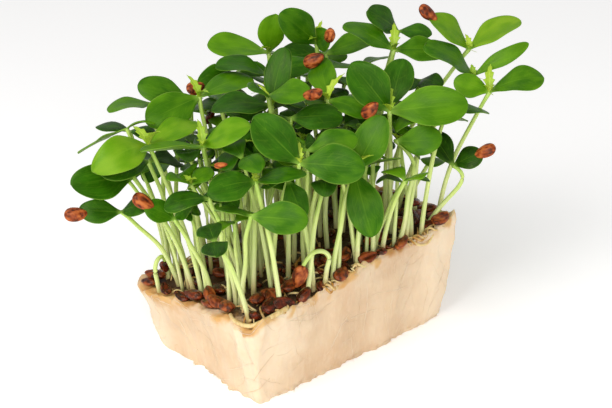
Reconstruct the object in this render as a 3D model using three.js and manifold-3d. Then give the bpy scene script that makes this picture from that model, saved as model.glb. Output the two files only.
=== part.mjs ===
// A block of sunflower microgreens as it comes out of its growing tray: the matted roots, which keep the
// tray's tapered shape, and the seedlings that stand in them, with the seed hulls that they left behind.
// Millimetres, +Z up. The origin is the middle of the flat underside. X runs along the block.
import * as THREE from "three";
import { ConvexGeometry } from "three/addons/geometries/ConvexGeometry.js";
import { mergeVertices } from "three/addons/utils/BufferGeometryUtils.js";
import Module from "manifold-3d";

const wasm = await Module();
wasm.setup();

// ---- Driving dimensions ------------------------------------------------------------------------------
const MAT = {
  length: 128, // along X, at the rim
  width: 88, // along Y, at the rim
  inset: 6, // how far each side comes in on its way down
  corner: 3, // radius of the upright corners
  steps: [8, 3, 10], // facets of a short side, of a corner and of a long side
};
// The matted top isn't level: these are its heights at the four corners.
const CORNER_HEIGHT = { nearLeft: 45, nearRight: 54, farLeft: 32, farRight: 49 };
// Seedlings stand in tufts of up to three, in rows and columns; a root crown below the top ties a tuft.
const STAND = { columns: 8, rows: 5, pitchX: 15.2, pitchY: 18.4, spreadX: 5, spreadY: 6 };
const ROOTS = { radius: 2, sides: 5, below: 1, deep: 6 };
const STEM = { radius: 1.15, past: 0.5 };
const SEED_LEAF = { width: 16.5, thick: 1.5, widestAt: 0.54, stalk: 0.12, cup: 0.012 };
const TRUE_LEAF = { width: 5.4, thick: 1.3, widestAt: 0.4, stalk: 0.25, cup: 0.05 };
const HULL = { length: 11, width: 6.6, thick: 4.6, around: 6 };
const GAP = 0.35; // what separate pieces keep between them
const FACET = 0.14; // facets flatter than this are merged
// The light comes from here: the leaves of the edge turn their faces to it.
const LIGHT_AZIMUTH = -130;
const LIGHT_RISE = 27;

// How finely the seedlings at the edge and the ones behind them are faceted.
const FINE = { stemSides: 4, stemSteps: 4, rows: [0.14, 0.36, 0.62, 0.86] };
const PLAIN = { stemSides: 4, stemSteps: 3, rows: [0.2, 0.54, 0.84] };
const BUD_ROWS = [0.45, 0.8];

const rad = THREE.MathUtils.degToRad;
const clamp = THREE.MathUtils.clamp;

// ---- The seedlings that give the block its outline ----------------------------------------------------
// foot x, y | crown x, y, z | seed leaf: azimuth, rise, length, tilt of its face toward the light, arch,
// share of the usual width | the other seed leaf | length of the first true leaves | bow of the stem
const PLACED = [
  [[-58, 9], [-61.7, 26.9, 109.3], [-176, -2, 31, 45, 6, 1], [-8, 12, 27, 30, 2, 1], 15, [0, 0]],
  [[-45, 2], [-47, 6, 111], [174, 12, 31, 6, 0.5, 1], [-60, 28, 26, 30, 2, 1], 13, [0, 0]],
  [[-52, 20], [-61.2, 29.5, 100.8], [-174, 9, 27, 35, 2, 1], [10, -22, 22, 30, 2, 1], 0, [0, 0]],
  [[-59, 15], [-69, 31, 95], [174, 9, 31, 45, 1.5, 1], [60, 5, 16, 30, 2, 1], 0, [0, 0]],
  [[-36, 30], [-28.2, 39.5, 116.8], [150, 22, 26, 30, 2, 1], [110, -25, 12, 20, 1, 1], 0, [0, 0]],
  [[-44, 38], [-40, 55, 115], [178, 11, 24, 20, 1, 1], [20, -4, 18, 20, 2, 1], 0, [0, 0]],
  [[-30, 22], [-26.8, 34.5, 120.2], [176, -8, 29, 50, 2, 1], [-8, 5, 29, 10, 2, 1], 12, [0, 0]],
  [[-2, 34], [4.8, 46.5, 118.8], [-178, 2, 24, 40, 2, 1], [-30, 0, 15, 20, 2, 1], 0, [0, 0]],
  [[-14, 26], [-16, 33, 111], [-55, 0, 20, 50, 2, 1], [100, -10, 18, 20, 2, 1], 0, [0, 0]],
  [[18, 34], [23.8, 45.5, 124.8], [140, 9, 30, 10, 1, 1], [-100, 73, 22, 55, 1, 1], 11, [0, 0]],
  [[9, 25], [12, 32, 120], [152, 18, 26, 10, 3, 1], [-30, 6, 24, 30, 2, 1], 0, [0, 0]],
  [[6, 12], [-1.6, 13.2, 114.3], [20, 60, 28, 20, 1, 0.8], [166, 12, 30, 20, 2, 1], 12, [0, 0]],
  [[-4, -8], [-1, 0, 112], [-50, 2, 24, 45, 2, 1], [170, -4, 20, 30, 2, 1], 0, [0, 0]],
  [[-10, 0], [-5.5, 10, 121.5], [-74, 13, 24, 20, 2, 1], [-170, 35, 14, 20, 1, 1], 0, [0, 0]],
  [[36, 30], [40.3, 28.9, 129.3], [172, 48, 27, 55, 1, 1], [-110, 29, 20, 60, 1, 1], 12, [0, 0]],
  [[42, 18], [48.4, 32.2, 120.3], [160, 4, 24, 35, 2, 1], [-30, 10, 24, 30, 2, 1], 0, [0, 0]],
  [[12, -12], [16, -7, 118], [58, 25, 27, 5, 1, 0.85], [-60, -18, 20, 30, 2, 1], 14, [0, 0]],
  [[32, -26], [33, -30, 114], [146, 56, 30, 55, 1.5, 1.05], [-38, 3, 36, 60, 1.5, 1.08], 15, [0, 0]],
  [[38, -18], [40, -23, 111], [28, 41, 26, 20, 1, 1], [150, 5, 18, 20, 2, 1], 0, [0, 0]],
  [[26, -38], [32, -35, 101], [-45, -2, 21, 70, 1, 1.15], [-30, -42, 15, 0, 1, 0.8], 0, [9, -5]],
  [[-12, -28], [-13, -26, 108], [-35, 10, 23, 35, 2, 1], [140, 10, 16, 10, 2, 1], 0, [0, 0]],
  [[50, 4], [64, 0, 127], [127, 27, 27, 18, 1, 1], [-40, -6, 24, 30, 2, 1], 14, [0, 0]],
  [[56, 14], [77, 11, 130], [176, 41, 24, 40, 1, 1], [-60, 2, 17, 20, 1, 0.9], 0, [0, 0]],
  [[52, -8], [70, -12, 113], [175, 0, 18, 30, 1, 1], [-100, 5, 16, 40, 2, 1], 0, [0, 0]],
  [[60, -14], [84, -33, 117], [154, 38, 30, 16, 2.5, 1], [-36, 30, 30, 40, 1.5, 0.45], 6, [0, 0]],
  [[55, -2], [90.7, -23.5, 126], [150, 46, 27, 20, 1.5, 1], [-32, 25, 28, 16, 2.5, 1], 8, [0, 0]],
  [[59, -36], [80.6, -47, 113.8], [130, 19, 17.5, 40, 1, 1], [-42, 13, 26, 12, 3, 1], 14, [0, 0]],
  [[50, -37], [60, -44, 82], [-45, 26, 15, 30, 1, 1], [95, 38, 20, 30, 1, 1], 0, [9, -8]],
  [[-43, -38], [-40.8, -23.2, 101.2], [168, 11, 24, 45, 2, 1], [-45, 10, 23, 12, 1.5, 1], 6, [0, 0]],
  [[-22, -18], [-21, -30, 106], [142, 51, 30, 55, 1, 1.05], [-45, -4, 29, 55, 1, 1.05], 10, [0, 0]],
  [[-16, -38], [7, -34, 94], [-108, -52, 31, 80, 1, 0.95], [-10, 50, 28, 60, 1.5, 1], 12, [0, 0]],
  [[-57, -29], [-50.2, -30.8, 90.8], [-45, -6, 25, 55, 1, 1], [140, 12, 16, 0, 1, 1], 0, [0, 0]],
  [[-59, -20], [-59, -13, 96], [150, -4, 20, 20, 2, 1], [20, 0, 20, 30, 2, 1], 0, [0, 0]],
  [[-34, -26], [-26.8, -28.2, 99.2], [-100, -50, 19, 30, 1, 1], [100, -20, 16, 30, 2, 1], 0, [0, 0]],
  [[-59, 28], [-79, 28, 82], [150, 4, 19, 40, 1, 1], [-60, 20, 16, 30, 1, 1], 0, [0, 0]],
  [[-60, 0], [-64.8, 6.8, 80.6], [140, 36, 15, 40, 1, 1], [-40, 40, 12, 20, 1, 1], 0, [0, 0]],
];
// Hulls that the seed leaves still wear at their tips: seedling in the list above, its leaf, roll.
const WORN_HULLS = [
  [7, 0, 10],
  [13, 0, 0],
  [14, 1, 0],
  [25, 0, 15],
  [27, 0, 0],
  [34, 0, 0],
  [35, 0, 0],
];
// A late sprout: it leaves the mat here, arches over and still has its hull on.
const SPROUT = {
  foot: [-18, -38],
  path: [
    [-16.2, -39.8, 55],
    [-14.8, -40, 60],
    [-17.4, -39.6, 64],
    [-22, -39, 65.3],
    [-26, -38.2, 63],
    [-28.8, -37.6, 59],
    [-30.2, -37.2, 55.5],
  ],
};
// Hulls that lie on the mat, in heaps: x, y, heading, slope of each.
const LYING_HULLS = [
  [[-59.5, -13, 95, 5], [-59.8, -21, 70, -8]],
  [[-46.5, -27.5, 20, 0], [-40.5, -29.5, -35, 8]],
  [[-59.5, 5, 100, 0]],
  [[-30, -30, 10, 5], [-24, -29, 60, -8]],
  [[-4, -29, -20, 0], [2, -30.5, 35, 6]],
  [[22, -29, 0, 0], [28, -27.5, 50, 10]],
  [[43, -28, -40, 0], [49, -29, 20, 8]],
  [[-58, 38, 120, 0]],
];
// The seedlings behind and between them take the places that are left. The nearer a place is to the light, the
// further its crown stands back (`back` at most) and the higher it is (`lift` at least), and no leaf comes nearer
// than `shade` to the light of a seed leaf in the list. A stem's lean is its reach over its height. The seed leaves
// of later tries are smaller, down to `least`.
const FILL = {
  seed: 41,
  most: 54,
  tries: 900,
  least: 0.5,
  lean: 0.5,
  bladeGap: 1.6,
  stemGap: 1.6,
  back: 28,
  lift: 18,
  shade: 3.4,
};

// ---- Numbers that repeat in the same order every time ---------------------------------------------------
function dice(seed) {
  let state = seed;
  return (low, high) => {
    state = (state * 48271) % 2147483647;
    return low + ((high - low) * state) / 2147483647;
  };
}

// ---- The root mat's form ----------------------------------------------------------------------------------
const mix = (a, b, t) => a + (b - a) * t;

// Height of the matted top over a point: the four corners blended, with low swells.
function topHeight(x, y) {
  const s = clamp(x / MAT.length + 0.5, 0, 1);
  const t = clamp(y / MAT.width + 0.5, 0, 1);
  const near = mix(CORNER_HEIGHT.nearLeft, CORNER_HEIGHT.nearRight, s);
  const far = mix(CORNER_HEIGHT.farLeft, CORNER_HEIGHT.farRight, s);
  return mix(near, far, t) + 0.9 * Math.sin(x / 9 + 1) + 0.8 * Math.sin(y / 8 + x / 21);
}

// Points round the outline: a rectangle with rounded corners, drawn for the full block and scaled to the half-lengths.
function outline(hx, hy) {
  const half = [MAT.length / 2, MAT.width / 2];
  const [x, y] = half.map((h) => h - MAT.corner);
  const [short, corner, long] = MAT.steps;
  const points = [[x, -y], [x, y], [-x, y], [-x, -y]].flatMap(([cx, cy], k) => {
    const bend = Array.from({ length: corner + 1 }, (_, i) => {
      const a = (Math.PI / 2) * (k - 1 + i / corner);
      return [cx + MAT.corner * Math.cos(a), cy + MAT.corner * Math.sin(a)];
    });
    const steps = k % 2 ? long : short;
    const reach = k % 2 ? 2 * x : 2 * y;
    const way = [[0, 1], [-1, 0], [0, -1], [1, 0]][k];
    const from = bend[corner];
    const run = Array.from({ length: steps - 1 }, (_, i) => way.map((w, n) => from[n] + (w * reach * (i + 1)) / steps));
    return [...bend, ...run];
  });
  return points.map(([px, py]) => [(px * hx) / half[0], (py * hy) / half[1]]);
}

// ---- Closed surfaces from rows of points --------------------------------------------------------------------
function geometryOf(points, faces) {
  return new THREE.BufferGeometry()
    .setAttribute("position", new THREE.Float32BufferAttribute(points.flat(), 3))
    .setIndex(faces.flat());
}

// Rings of equal length, joined ring to ring and closed by a pole at each end.
function ringSolid(first, rings, last) {
  const n = rings[0].length;
  const points = [first, ...rings.flat(), last];
  const faces = [];
  const at = (ring, i) => 1 + ring * n + (i % n);
  for (let i = 0; i < n; i++) {
    faces.push([0, at(0, i + 1), at(0, i)]);
    for (let r = 0; r + 1 < rings.length; r++) {
      faces.push([at(r, i), at(r, i + 1), at(r + 1, i + 1)], [at(r, i), at(r + 1, i + 1), at(r + 1, i)]);
    }
    faces.push([at(rings.length - 1, i), at(rings.length - 1, i + 1), points.length - 1]);
  }
  return solidOf(geometryOf(points, faces));
}

// ---- Joining and cutting ----------------------------------------------------------------------------------------
function solidOf(geometry) {
  const bare = new THREE.BufferGeometry().setAttribute("position", geometry.getAttribute("position"));
  bare.setIndex(geometry.index);
  const merged = mergeVertices(bare, 1e-4);
  return new wasm.Manifold(
    new wasm.Mesh({
      numProp: 3,
      vertProperties: merged.attributes.position.array,
      triVerts: new Uint32Array(merged.index.array),
    }),
  );
}

function meshOf(name, solid, material) {
  const { vertProperties, triVerts } = solid.getMesh();
  const geometry = new THREE.BufferGeometry()
    .setAttribute("position", new THREE.BufferAttribute(vertProperties, 3))
    .setIndex(new THREE.BufferAttribute(triVerts, 1));
  geometry.computeVertexNormals();
  const mesh = new THREE.Mesh(geometry, material);
  mesh.name = name;
  return mesh;
}

const joined = (solids) => solids.reduce((whole, piece) => whole.add(piece));

// ---- Blades: seed leaves and true leaves ----------------------------------------------------------------------
// A blade's frame: `along` from base to tip, `side` across it, `up` out of its upper face.
function bladeFrame(base, azimuth, rise, facing, tilt) {
  const along = direction(azimuth, rise);
  const up = direction(facing, 90 - tilt);
  up.addScaledVector(along, -up.dot(along)).normalize();
  return { base: new THREE.Vector3(...base), along, up, side: new THREE.Vector3().crossVectors(along, up) };
}

function direction(azimuth, rise) {
  const a = rad(azimuth);
  const r = rad(rise);
  return new THREE.Vector3(Math.cos(a) * Math.cos(r), Math.sin(a) * Math.cos(r), Math.sin(r));
}

// Half the width, as a share of the greatest, at a share u of the length.
function bladeProfile(u, { widestAt, stalk }) {
  if (u <= 0) return stalk;
  if (u < widestAt) return stalk + (1 - stalk) * Math.sin((Math.PI / 2) * (u / widestAt)) ** 1.4;
  return Math.sqrt(Math.max(0, 1 - ((u - widestAt) / (1 - widestAt)) ** 2));
}

// The middle surface: u along the blade, v from -1 to 1 across it. It arches along and cups across.
function bladePoint(blade, u, v) {
  const half = (blade.width / 2) * bladeProfile(u, blade.kind);
  return blade.base
    .clone()
    .addScaledVector(blade.along, blade.length * u)
    .addScaledVector(blade.side, v * half)
    .addScaledVector(blade.up, blade.arch * 4 * u * (1 - u) + blade.kind.cup * (v * half) ** 2);
}

// A row across a lens: edge, bottom, edge, top. `swell` makes it larger, to cut with.
function bladeRow(blade, u, swell = 0) {
  const rise = blade.kind.thick / 2 + swell;
  const middle = bladePoint(blade, u, 0);
  return [
    bladePoint(blade, u, 1).addScaledVector(blade.side, swell),
    middle.clone().addScaledVector(blade.up, -rise),
    bladePoint(blade, u, -1).addScaledVector(blade.side, -swell),
    middle.addScaledVector(blade.up, rise),
  ].map((point) => point.toArray());
}

function bladeSolid(blade, rows, swell = 0) {
  const start = bladePoint(blade, -(1 + swell) / blade.length, 0).toArray();
  const tip = bladePoint(blade, 1 + (2 * swell) / blade.length, 0).toArray();
  return ringSolid(start, rows.map((u) => bladeRow(blade, u, swell)), tip);
}

// Two seed leaves as one lens that runs from tip to tip through the crown.
function leafPairSolid([one, other], rows) {
  const side = other.side.clone().sub(one.side).normalize().multiplyScalar(1.1);
  const up = other.up.clone().add(one.up).normalize().multiplyScalar(0.8);
  const crown = [
    other.base.clone().add(side),
    other.base.clone().sub(up),
    other.base.clone().sub(side),
    other.base.clone().add(up),
  ].map((point) => point.toArray());
  const back = rows.map((u) => bladeRow(one, u)).map(([left, bottom, right, top]) => [right, bottom, left, top]);
  const rings = [...back.reverse(), crown, ...rows.map((u) => bladeRow(other, u))];
  return ringSolid(bladePoint(one, 1, 0).toArray(), rings, bladePoint(other, 1, 0).toArray());
}

// ---- Seedlings ------------------------------------------------------------------------------------------------------
// A leaf is azimuth, rise, length, tilt, arch, share of width and the azimuth that it faces.
function seedling(spot, crown, leaves, bud, bow, grain) {
  const foot = new THREE.Vector3(spot.x, spot.y, topHeight(spot.x, spot.y));
  const top = new THREE.Vector3(...crown);
  const seedLeaves = leaves.map(([azimuth, rise, length, tilt, arch, share, facing]) => ({
    kind: SEED_LEAF,
    length,
    width: SEED_LEAF.width * share * clamp(length / 28, 0.72, 1.06),
    arch,
    ...bladeFrame(crown, azimuth, rise, facing, tilt),
  }));
  const across = (leaves[0][0] + leaves[1][0]) / 2;
  const trueLeaves = [0, 1]
    .filter(() => bud > 0)
    .map((i) => ({
      kind: TRUE_LEAF,
      length: bud * (1 - 0.15 * i),
      width: TRUE_LEAF.width * clamp(bud / 14, 0.7, 1.1),
      arch: 1,
      ...bladeFrame(crown, across + 180 * i, 60 - 14 * i, across + 180 * i + 180, 30),
    }));
  return { spot, foot, crown: top, seedLeaves, trueLeaves, grain, stem: stemCurve(foot, top, bow) };
}

// The stem leaves the mat nearly upright and bends over to its crown.
function stemCurve(foot, crown, [bowX, bowY]) {
  const run = crown.clone().sub(foot);
  const low = foot.clone().add(new THREE.Vector3(run.x * 0.14 + bowX * 0.5, run.y * 0.14 + bowY * 0.5, run.z * 0.4));
  const high = foot.clone().add(new THREE.Vector3(run.x * 0.62 + bowX * 1.4, run.y * 0.62 + bowY * 1.4, run.z * 0.75));
  return new THREE.CubicBezierCurve3(foot, low, high, crown);
}

// ---- Places to stand --------------------------------------------------------------------------------------------------
// Three to a tuft: along the edge for tufts at the edge, crosswise in turn for the ones inside.
function places() {
  const all = [];
  for (let row = 0; row < STAND.rows; row++) {
    for (let column = 0; column < STAND.columns; column++) {
      const side = column === 0 || column === STAND.columns - 1;
      const end = row === 0 || row === STAND.rows - 1;
      const alongY = side ? !end : !end && (row + column) % 2 === 1;
      const x = (column - (STAND.columns - 1) / 2) * STAND.pitchX;
      const y = (row - (STAND.rows - 1) / 2) * STAND.pitchY * (!end ? 1 : side ? 0.94 : 1.04);
      const spread = STAND.spreadX * (side && end ? 0.92 : 1);
      for (const place of [-1, 0, 1]) {
        const bow = side && end ? 0 : 0.6 * (1 - 2 * Math.abs(place));
        all.push({
          tuft: row * STAND.columns + column,
          x: x + (alongY ? bow : place * spread),
          y: y + (alongY ? place * STAND.spreadY : bow),
          free: true,
        });
      }
    }
  }
  return all;
}

// The nearest place that nobody has taken yet.
function takePlace(all, x, y) {
  let nearest = null;
  let least = Infinity;
  for (const place of all) {
    const away = (place.x - x) ** 2 + (place.y - y) ** 2;
    if (place.free && away < least) [nearest, least] = [place, away];
  }
  nearest.free = false;
  return nearest;
}

// ---- Seedlings as solids --------------------------------------------------------------------------------------------
function disc(x, y, radius, sides) {
  return Array.from({ length: sides }, (_, i) => {
    const a = (2 * Math.PI * (i + 0.5)) / sides;
    return [x + radius * Math.cos(a), y + radius * Math.sin(a)];
  });
}

// A round section drawn along a path, a little past its end.
function rodSolid(path, radius, sides, steps) {
  const section = new THREE.Shape(disc(0, 0, radius, sides).map(([x, y]) => new THREE.Vector2(x, y)));
  return solidOf(new THREE.ExtrudeGeometry(section, { steps, bevelEnabled: false, extrudePath: path }));
}

function stemSolid({ stem, grain }) {
  const root = stem.v0.clone().add(new THREE.Vector3(0, 0, -ROOTS.below - 3));
  const end = stem.v3.clone().addScaledVector(stem.getTangent(1), STEM.past);
  const path = new THREE.CubicBezierCurve3(root, stem.v1, stem.v2, end);
  return rodSolid(path, STEM.radius, grain.stemSides, grain.stemSteps);
}

function seedlingSolid(plant) {
  return joined([
    stemSolid(plant),
    leafPairSolid(plant.seedLeaves, plant.grain.rows),
    ...plant.trueLeaves.map((blade) => bladeSolid(blade, BUD_ROWS)),
  ]);
}

// The sprout's path, `past` longer at its end.
function sproutPath(place, past = 0) {
  const root = [place.x, place.y, topHeight(place.x, place.y) - ROOTS.below - 3];
  const points = [root, ...SPROUT.path].map((point) => new THREE.Vector3(...point));
  const [before, last] = points.slice(-2);
  last.addScaledVector(last.clone().sub(before).normalize(), past);
  return new THREE.CatmullRomCurve3(points);
}

const upright = (corners, low, high) =>
  solidOf(new ConvexGeometry(corners.flatMap(([x, y]) => [low, high].map((z) => new THREE.Vector3(x, y, z)))));

// The root crown of a tuft, and the plain hole that it stands in, wide enough for its stems' lean.
function rootCrown(paths) {
  const feet = paths.map((path) => path.getPoint(0));
  const top = Math.min(...feet.map(({ x, y }) => topHeight(x, y))) - ROOTS.below;
  const discs = (points, radius) => points.flatMap(({ x, y }) => disc(x, y, radius, ROOTS.sides));
  const leaning = paths.flatMap((path) => [path.getPoint(0), path.getPoint(0.07)]);
  return {
    crown: upright(discs(feet, ROOTS.radius), top - ROOTS.deep, top),
    hole: upright(discs(leaning, ROOTS.radius + GAP + FACET), top - ROOTS.deep - GAP - FACET, 80),
  };
}

// ---- Seed hulls ---------------------------------------------------------------------------------------------------------
// A blunt drop, `grow` larger all round; `way` is its long axis and `up` its flat side.
function hullSolid(centre, way, up, roll = 0) {
  const flat = up.clone().addScaledVector(way, -up.dot(way)).normalize().applyAxisAngle(way, rad(roll));
  const side = new THREE.Vector3().crossVectors(flat, way);
  const at = (s, a) => {
    const wide = Math.sqrt(1 - s * s) * (1 - 0.25 * s);
    return centre
      .clone()
      .addScaledVector(way, (s * HULL.length) / 2)
      .addScaledVector(side, (Math.cos(a) * wide * HULL.width) / 2)
      .addScaledVector(flat, (Math.sin(a) * wide * HULL.thick) / 2)
      .toArray();
  };
  const rings = [-0.78, -0.15, 0.55].map((s) =>
    Array.from({ length: HULL.around }, (_, i) => at(s, (2 * Math.PI * i) / HULL.around)),
  );
  return ringSolid(at(-1, 0), rings, at(1, 0));
}

// A hull at a leaf's tip, with a slot that the leaf passes into.
function wornHull(leaf, roll) {
  const centre = bladePoint(leaf, 1, 0).addScaledVector(leaf.along, 1.2);
  const slot = bladeSolid(leaf, FINE.rows, GAP + 0.45);
  return hullSolid(centre, leaf.along.clone().negate(), leaf.up, roll).subtract(slot);
}

function lyingHull([x, y, heading, slope]) {
  const centre = new THREE.Vector3(x, y, topHeight(x, y) + HULL.thick / 2 + 0.9);
  return hullSolid(centre, direction(heading, slope), new THREE.Vector3(0, 0, 1));
}

// ---- Keeping clear --------------------------------------------------------------------------------------------------------
// Points all over a seedling: wide ones on its seed leaves, slim ones on its stem and true leaves.
function probes(plant) {
  const wide = plant.seedLeaves.flatMap((leaf) =>
    [0.12, 0.28, 0.45, 0.62, 0.8, 0.97].flatMap((u) => [-0.8, 0, 0.8].map((v) => bladePoint(leaf, u, v))),
  );
  const slim = [
    ...[0.12, 0.25, 0.37, 0.5, 0.62, 0.74, 0.85, 0.95].map((t) => plant.stem.getPoint(t)),
    ...plant.trueLeaves.flatMap((leaf) => [0.5, 0.95].map((u) => bladePoint(leaf, u, 0))),
  ];
  return { wide, slim };
}

// True if two seedlings' points keep their distance.
function roomy(one, other) {
  const apart = (some, others, keep) => some.every((p) => others.every((q) => p.distanceTo(q) >= keep));
  return (
    apart(one.slim, other.slim, FILL.stemGap) &&
    apart(one.wide, other.slim, FILL.stemGap) &&
    apart(one.slim, other.wide, FILL.stemGap) &&
    apart(one.wide, other.wide, FILL.bladeGap)
  );
}

// A point as the light meets it: where it is across the light, and how near to the lamp.
const light = bladeFrame([0, 0, 0], LIGHT_AZIMUTH, LIGHT_RISE, 0, 0);
const inLight = (point) => [point.dot(light.side), point.dot(light.up), point.dot(light.along)];

// True if any of the leaf points round a crown takes the light of a seed leaf in the list.
function shades(crown, points, lit) {
  const within = ([a, b], reach) => ([x, y]) => (a - x) ** 2 + (b - y) ** 2 < reach ** 2;
  const close = lit.filter(within(inLight(crown), 36));
  return points.map(inLight).some((point) => close.filter(within(point, FILL.shade)).some((one) => point[2] > one[2]));
}

// True if two solids keep a gap between them.
function clear(one, other) {
  const a = one.boundingBox();
  const b = other.boundingBox();
  const near = [0, 1, 2].every((k) => a.max[k] + 1 > b.min[k] && b.max[k] + 1 > a.min[k]);
  return !near || one.minGap(other, 1) > GAP + FACET;
}

// ---- The whole stand ----------------------------------------------------------------------------------------------------------
function placedSeedlings(all) {
  return PLACED.map(([foot, crown, one, two, bud, bow]) =>
    seedling(takePlace(all, ...foot), crown, [[...one, LIGHT_AZIMUTH], [...two, LIGHT_AZIMUTH]], bud, bow, FINE),
  );
}

// One try at a seedling for a place: its crown leans out of the middle, under a domed canopy.
function tryAt(place, roll, size) {
  const away = direction(LIGHT_AZIMUTH + 180, 0);
  const near = clamp(0.5 - (place.x * away.x + place.y * away.y) / 100, 0, 1);
  const lean = roll(0.02, 0.2);
  const back = roll(0, FILL.back) * near;
  const crown = [
    place.x * (1 + lean) + away.x * back + roll(-8, 8),
    place.y * (1 + lean) + away.y * back + roll(-8, 8),
    roll(80 + FILL.lift * near, 127) - 0.0022 * (place.x ** 2 + place.y ** 2),
  ];
  const azimuth = roll(0, 360);
  const outward = THREE.MathUtils.radToDeg(Math.atan2(crown[1], crown[0]));
  const facing = outward + roll(-40, 40);
  const tilt = roll(8, 36);
  const leaves = [
    [azimuth, roll(-12, 32), roll(20, 28) * size, tilt, roll(0.5, 3.5), 1, facing],
    [azimuth + 180 + roll(-20, 20), roll(-12, 32), roll(19, 27) * size, tilt, roll(0.5, 3.5), 1, facing],
  ];
  const bud = roll(-14, 12);
  return seedling(place, crown, leaves, bud > 5 ? bud : 0, [0, 0], PLAIN);
}

// Every place that is left takes the first try that keeps clear of all that stands already. The places of tufts
// with the fewest seedlings in the list come first.
function fillSeedlings(all, standing, others) {
  const made = [];
  const taken = standing.map((plant) => ({ plant, points: probes(plant), solid: seedlingSolid(plant) }));
  const lit = taken.flatMap(({ points }) => points.wide.map(inLight));
  const listed = (place) => standing.filter(({ spot }) => spot.tuft === place.tuft).length;
  for (const place of all.filter((one) => one.free).sort((one, other) => listed(one) - listed(other))) {
    const roll = dice(FILL.seed + 97 * all.indexOf(place));
    for (let tries = 0; tries < FILL.tries && made.length < FILL.most; tries++) {
      const plant = tryAt(place, roll, mix(1, FILL.least, tries / FILL.tries));
      const run = plant.crown.clone().sub(plant.foot);
      if (Math.hypot(run.x, run.y) > FILL.lean * run.z) continue;
      const points = probes(plant);
      const beside = taken.filter((one) => one.plant.crown.distanceTo(plant.crown) < 75);
      if (!beside.every((one) => roomy(points, one.points)) || shades(plant.crown, points.wide, lit)) continue;
      const solid = seedlingSolid(plant);
      if (![...taken.map((one) => one.solid), ...others].every((one) => clear(solid, one))) continue;
      taken.push({ plant, points, solid });
      made.push(plant);
      break;
    }
  }
  return made;
}

function matSolid() {
  const sideRing = (share) => {
    const inset = MAT.inset * (1 - share);
    return outline(MAT.length / 2 - inset, MAT.width / 2 - inset).map(([x, y]) => [x, y, share * topHeight(x, y)]);
  };
  const topRing = (share, drop) =>
    outline((MAT.length / 2) * share, (MAT.width / 2) * share).map(([x, y]) => [x, y, topHeight(x, y) - drop]);
  const rings = [
    sideRing(0).map(([x, y]) => [x * 0.985, y * 0.98, 0]),
    sideRing(0.07),
    sideRing(0.5),
    sideRing(0.95),
    topRing(0.98, 0.2),
    topRing(0.92, 0.6),
    topRing(0.45, 0),
  ];
  return ringSolid([0, 0, 0], rings, [0, 0, topHeight(0, 0)]);
}

// ---- Colours ----------------------------------------------------------------------------------------------------------------------
const colour = (hex, roughness) => new THREE.MeshStandardMaterial({ color: hex, roughness, metalness: 0 });
const greens = [0x3c7f1f, 0x2f6d1c, 0x4c9426, 0x377a22].map((hex) => colour(hex, 0.42));
const rootCream = colour(0xe3c49b, 0.7);
const hullBrown = colour(0x86371b, 0.6);

// ---- Everything in its place --------------------------------------------------------------------------------------------------
const allPlaces = places();
const sproutPlace = takePlace(allPlaces, ...SPROUT.foot);
const sprout = sproutPath(sproutPlace);
const placed = placedSeedlings(allPlaces);

const hulls = [
  ...LYING_HULLS.map((heap) => joined(heap.map(lyingHull))),
  ...WORN_HULLS.map(([plant, leaf, roll]) => wornHull(placed[plant].seedLeaves[leaf], roll)),
  hullSolid(sprout.getPoint(1), sprout.getTangent(1), direction(LIGHT_AZIMUTH, 0)).subtract(
    rodSolid(sproutPath(sproutPlace, GAP + 0.1), STEM.radius + GAP + 0.1, 5, 10),
  ),
];
const sproutSolid = rodSolid(sprout, STEM.radius, 5, 10);
const seedlings = [...placed, ...fillSeedlings(allPlaces, placed, [sproutSolid, ...hulls])];

const block = new THREE.Group();
let mat = matSolid();
for (let tuft = 0; tuft < STAND.rows * STAND.columns; tuft++) {
  const plants = seedlings.filter((plant) => plant.spot.tuft === tuft);
  const paths = plants.map((plant) => plant.stem);
  const stems = plants.map(seedlingSolid);
  if (tuft === sproutPlace.tuft) {
    paths.push(sprout);
    stems.push(sproutSolid);
  }
  if (!stems.length) continue;
  const { crown, hole } = rootCrown(paths);
  mat = mat.subtract(hole);
  const whole = joined([crown, ...stems]).asOriginal().simplify(FACET);
  block.add(meshOf(`tuft_${String(tuft + 1).padStart(2, "0")}`, whole, greens[tuft % greens.length]));
}
block.add(meshOf("root_mat", mat.asOriginal().simplify(FACET), rootCream));
hulls.forEach((hull, i) => block.add(meshOf(`hulls_${String(i + 1).padStart(2, "0")}`, hull, hullBrown)));

export default block;
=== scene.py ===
"""The looks of a block of sunflower microgreens: matted roots, leafy seedlings and seed hulls.

Shapes are worked out in millimetres, in the part's own frame, and scaled to metres as they become meshes.
"""

import math

import bpy
import numpy as np
from mathutils import Matrix


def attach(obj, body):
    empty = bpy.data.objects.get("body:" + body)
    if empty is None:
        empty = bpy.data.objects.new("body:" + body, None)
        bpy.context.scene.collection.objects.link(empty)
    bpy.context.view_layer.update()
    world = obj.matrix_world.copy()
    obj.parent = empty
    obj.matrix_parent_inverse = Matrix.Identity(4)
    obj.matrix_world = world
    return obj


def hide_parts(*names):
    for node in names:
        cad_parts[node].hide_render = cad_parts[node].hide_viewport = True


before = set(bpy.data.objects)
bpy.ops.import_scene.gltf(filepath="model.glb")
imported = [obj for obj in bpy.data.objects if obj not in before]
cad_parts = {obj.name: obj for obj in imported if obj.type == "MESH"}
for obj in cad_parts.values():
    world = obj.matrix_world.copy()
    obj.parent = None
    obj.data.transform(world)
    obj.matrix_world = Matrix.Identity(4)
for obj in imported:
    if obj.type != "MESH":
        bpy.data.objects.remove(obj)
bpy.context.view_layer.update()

MM = 0.001
UPRIGHT = np.array([0, 0, 1.0])

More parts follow.
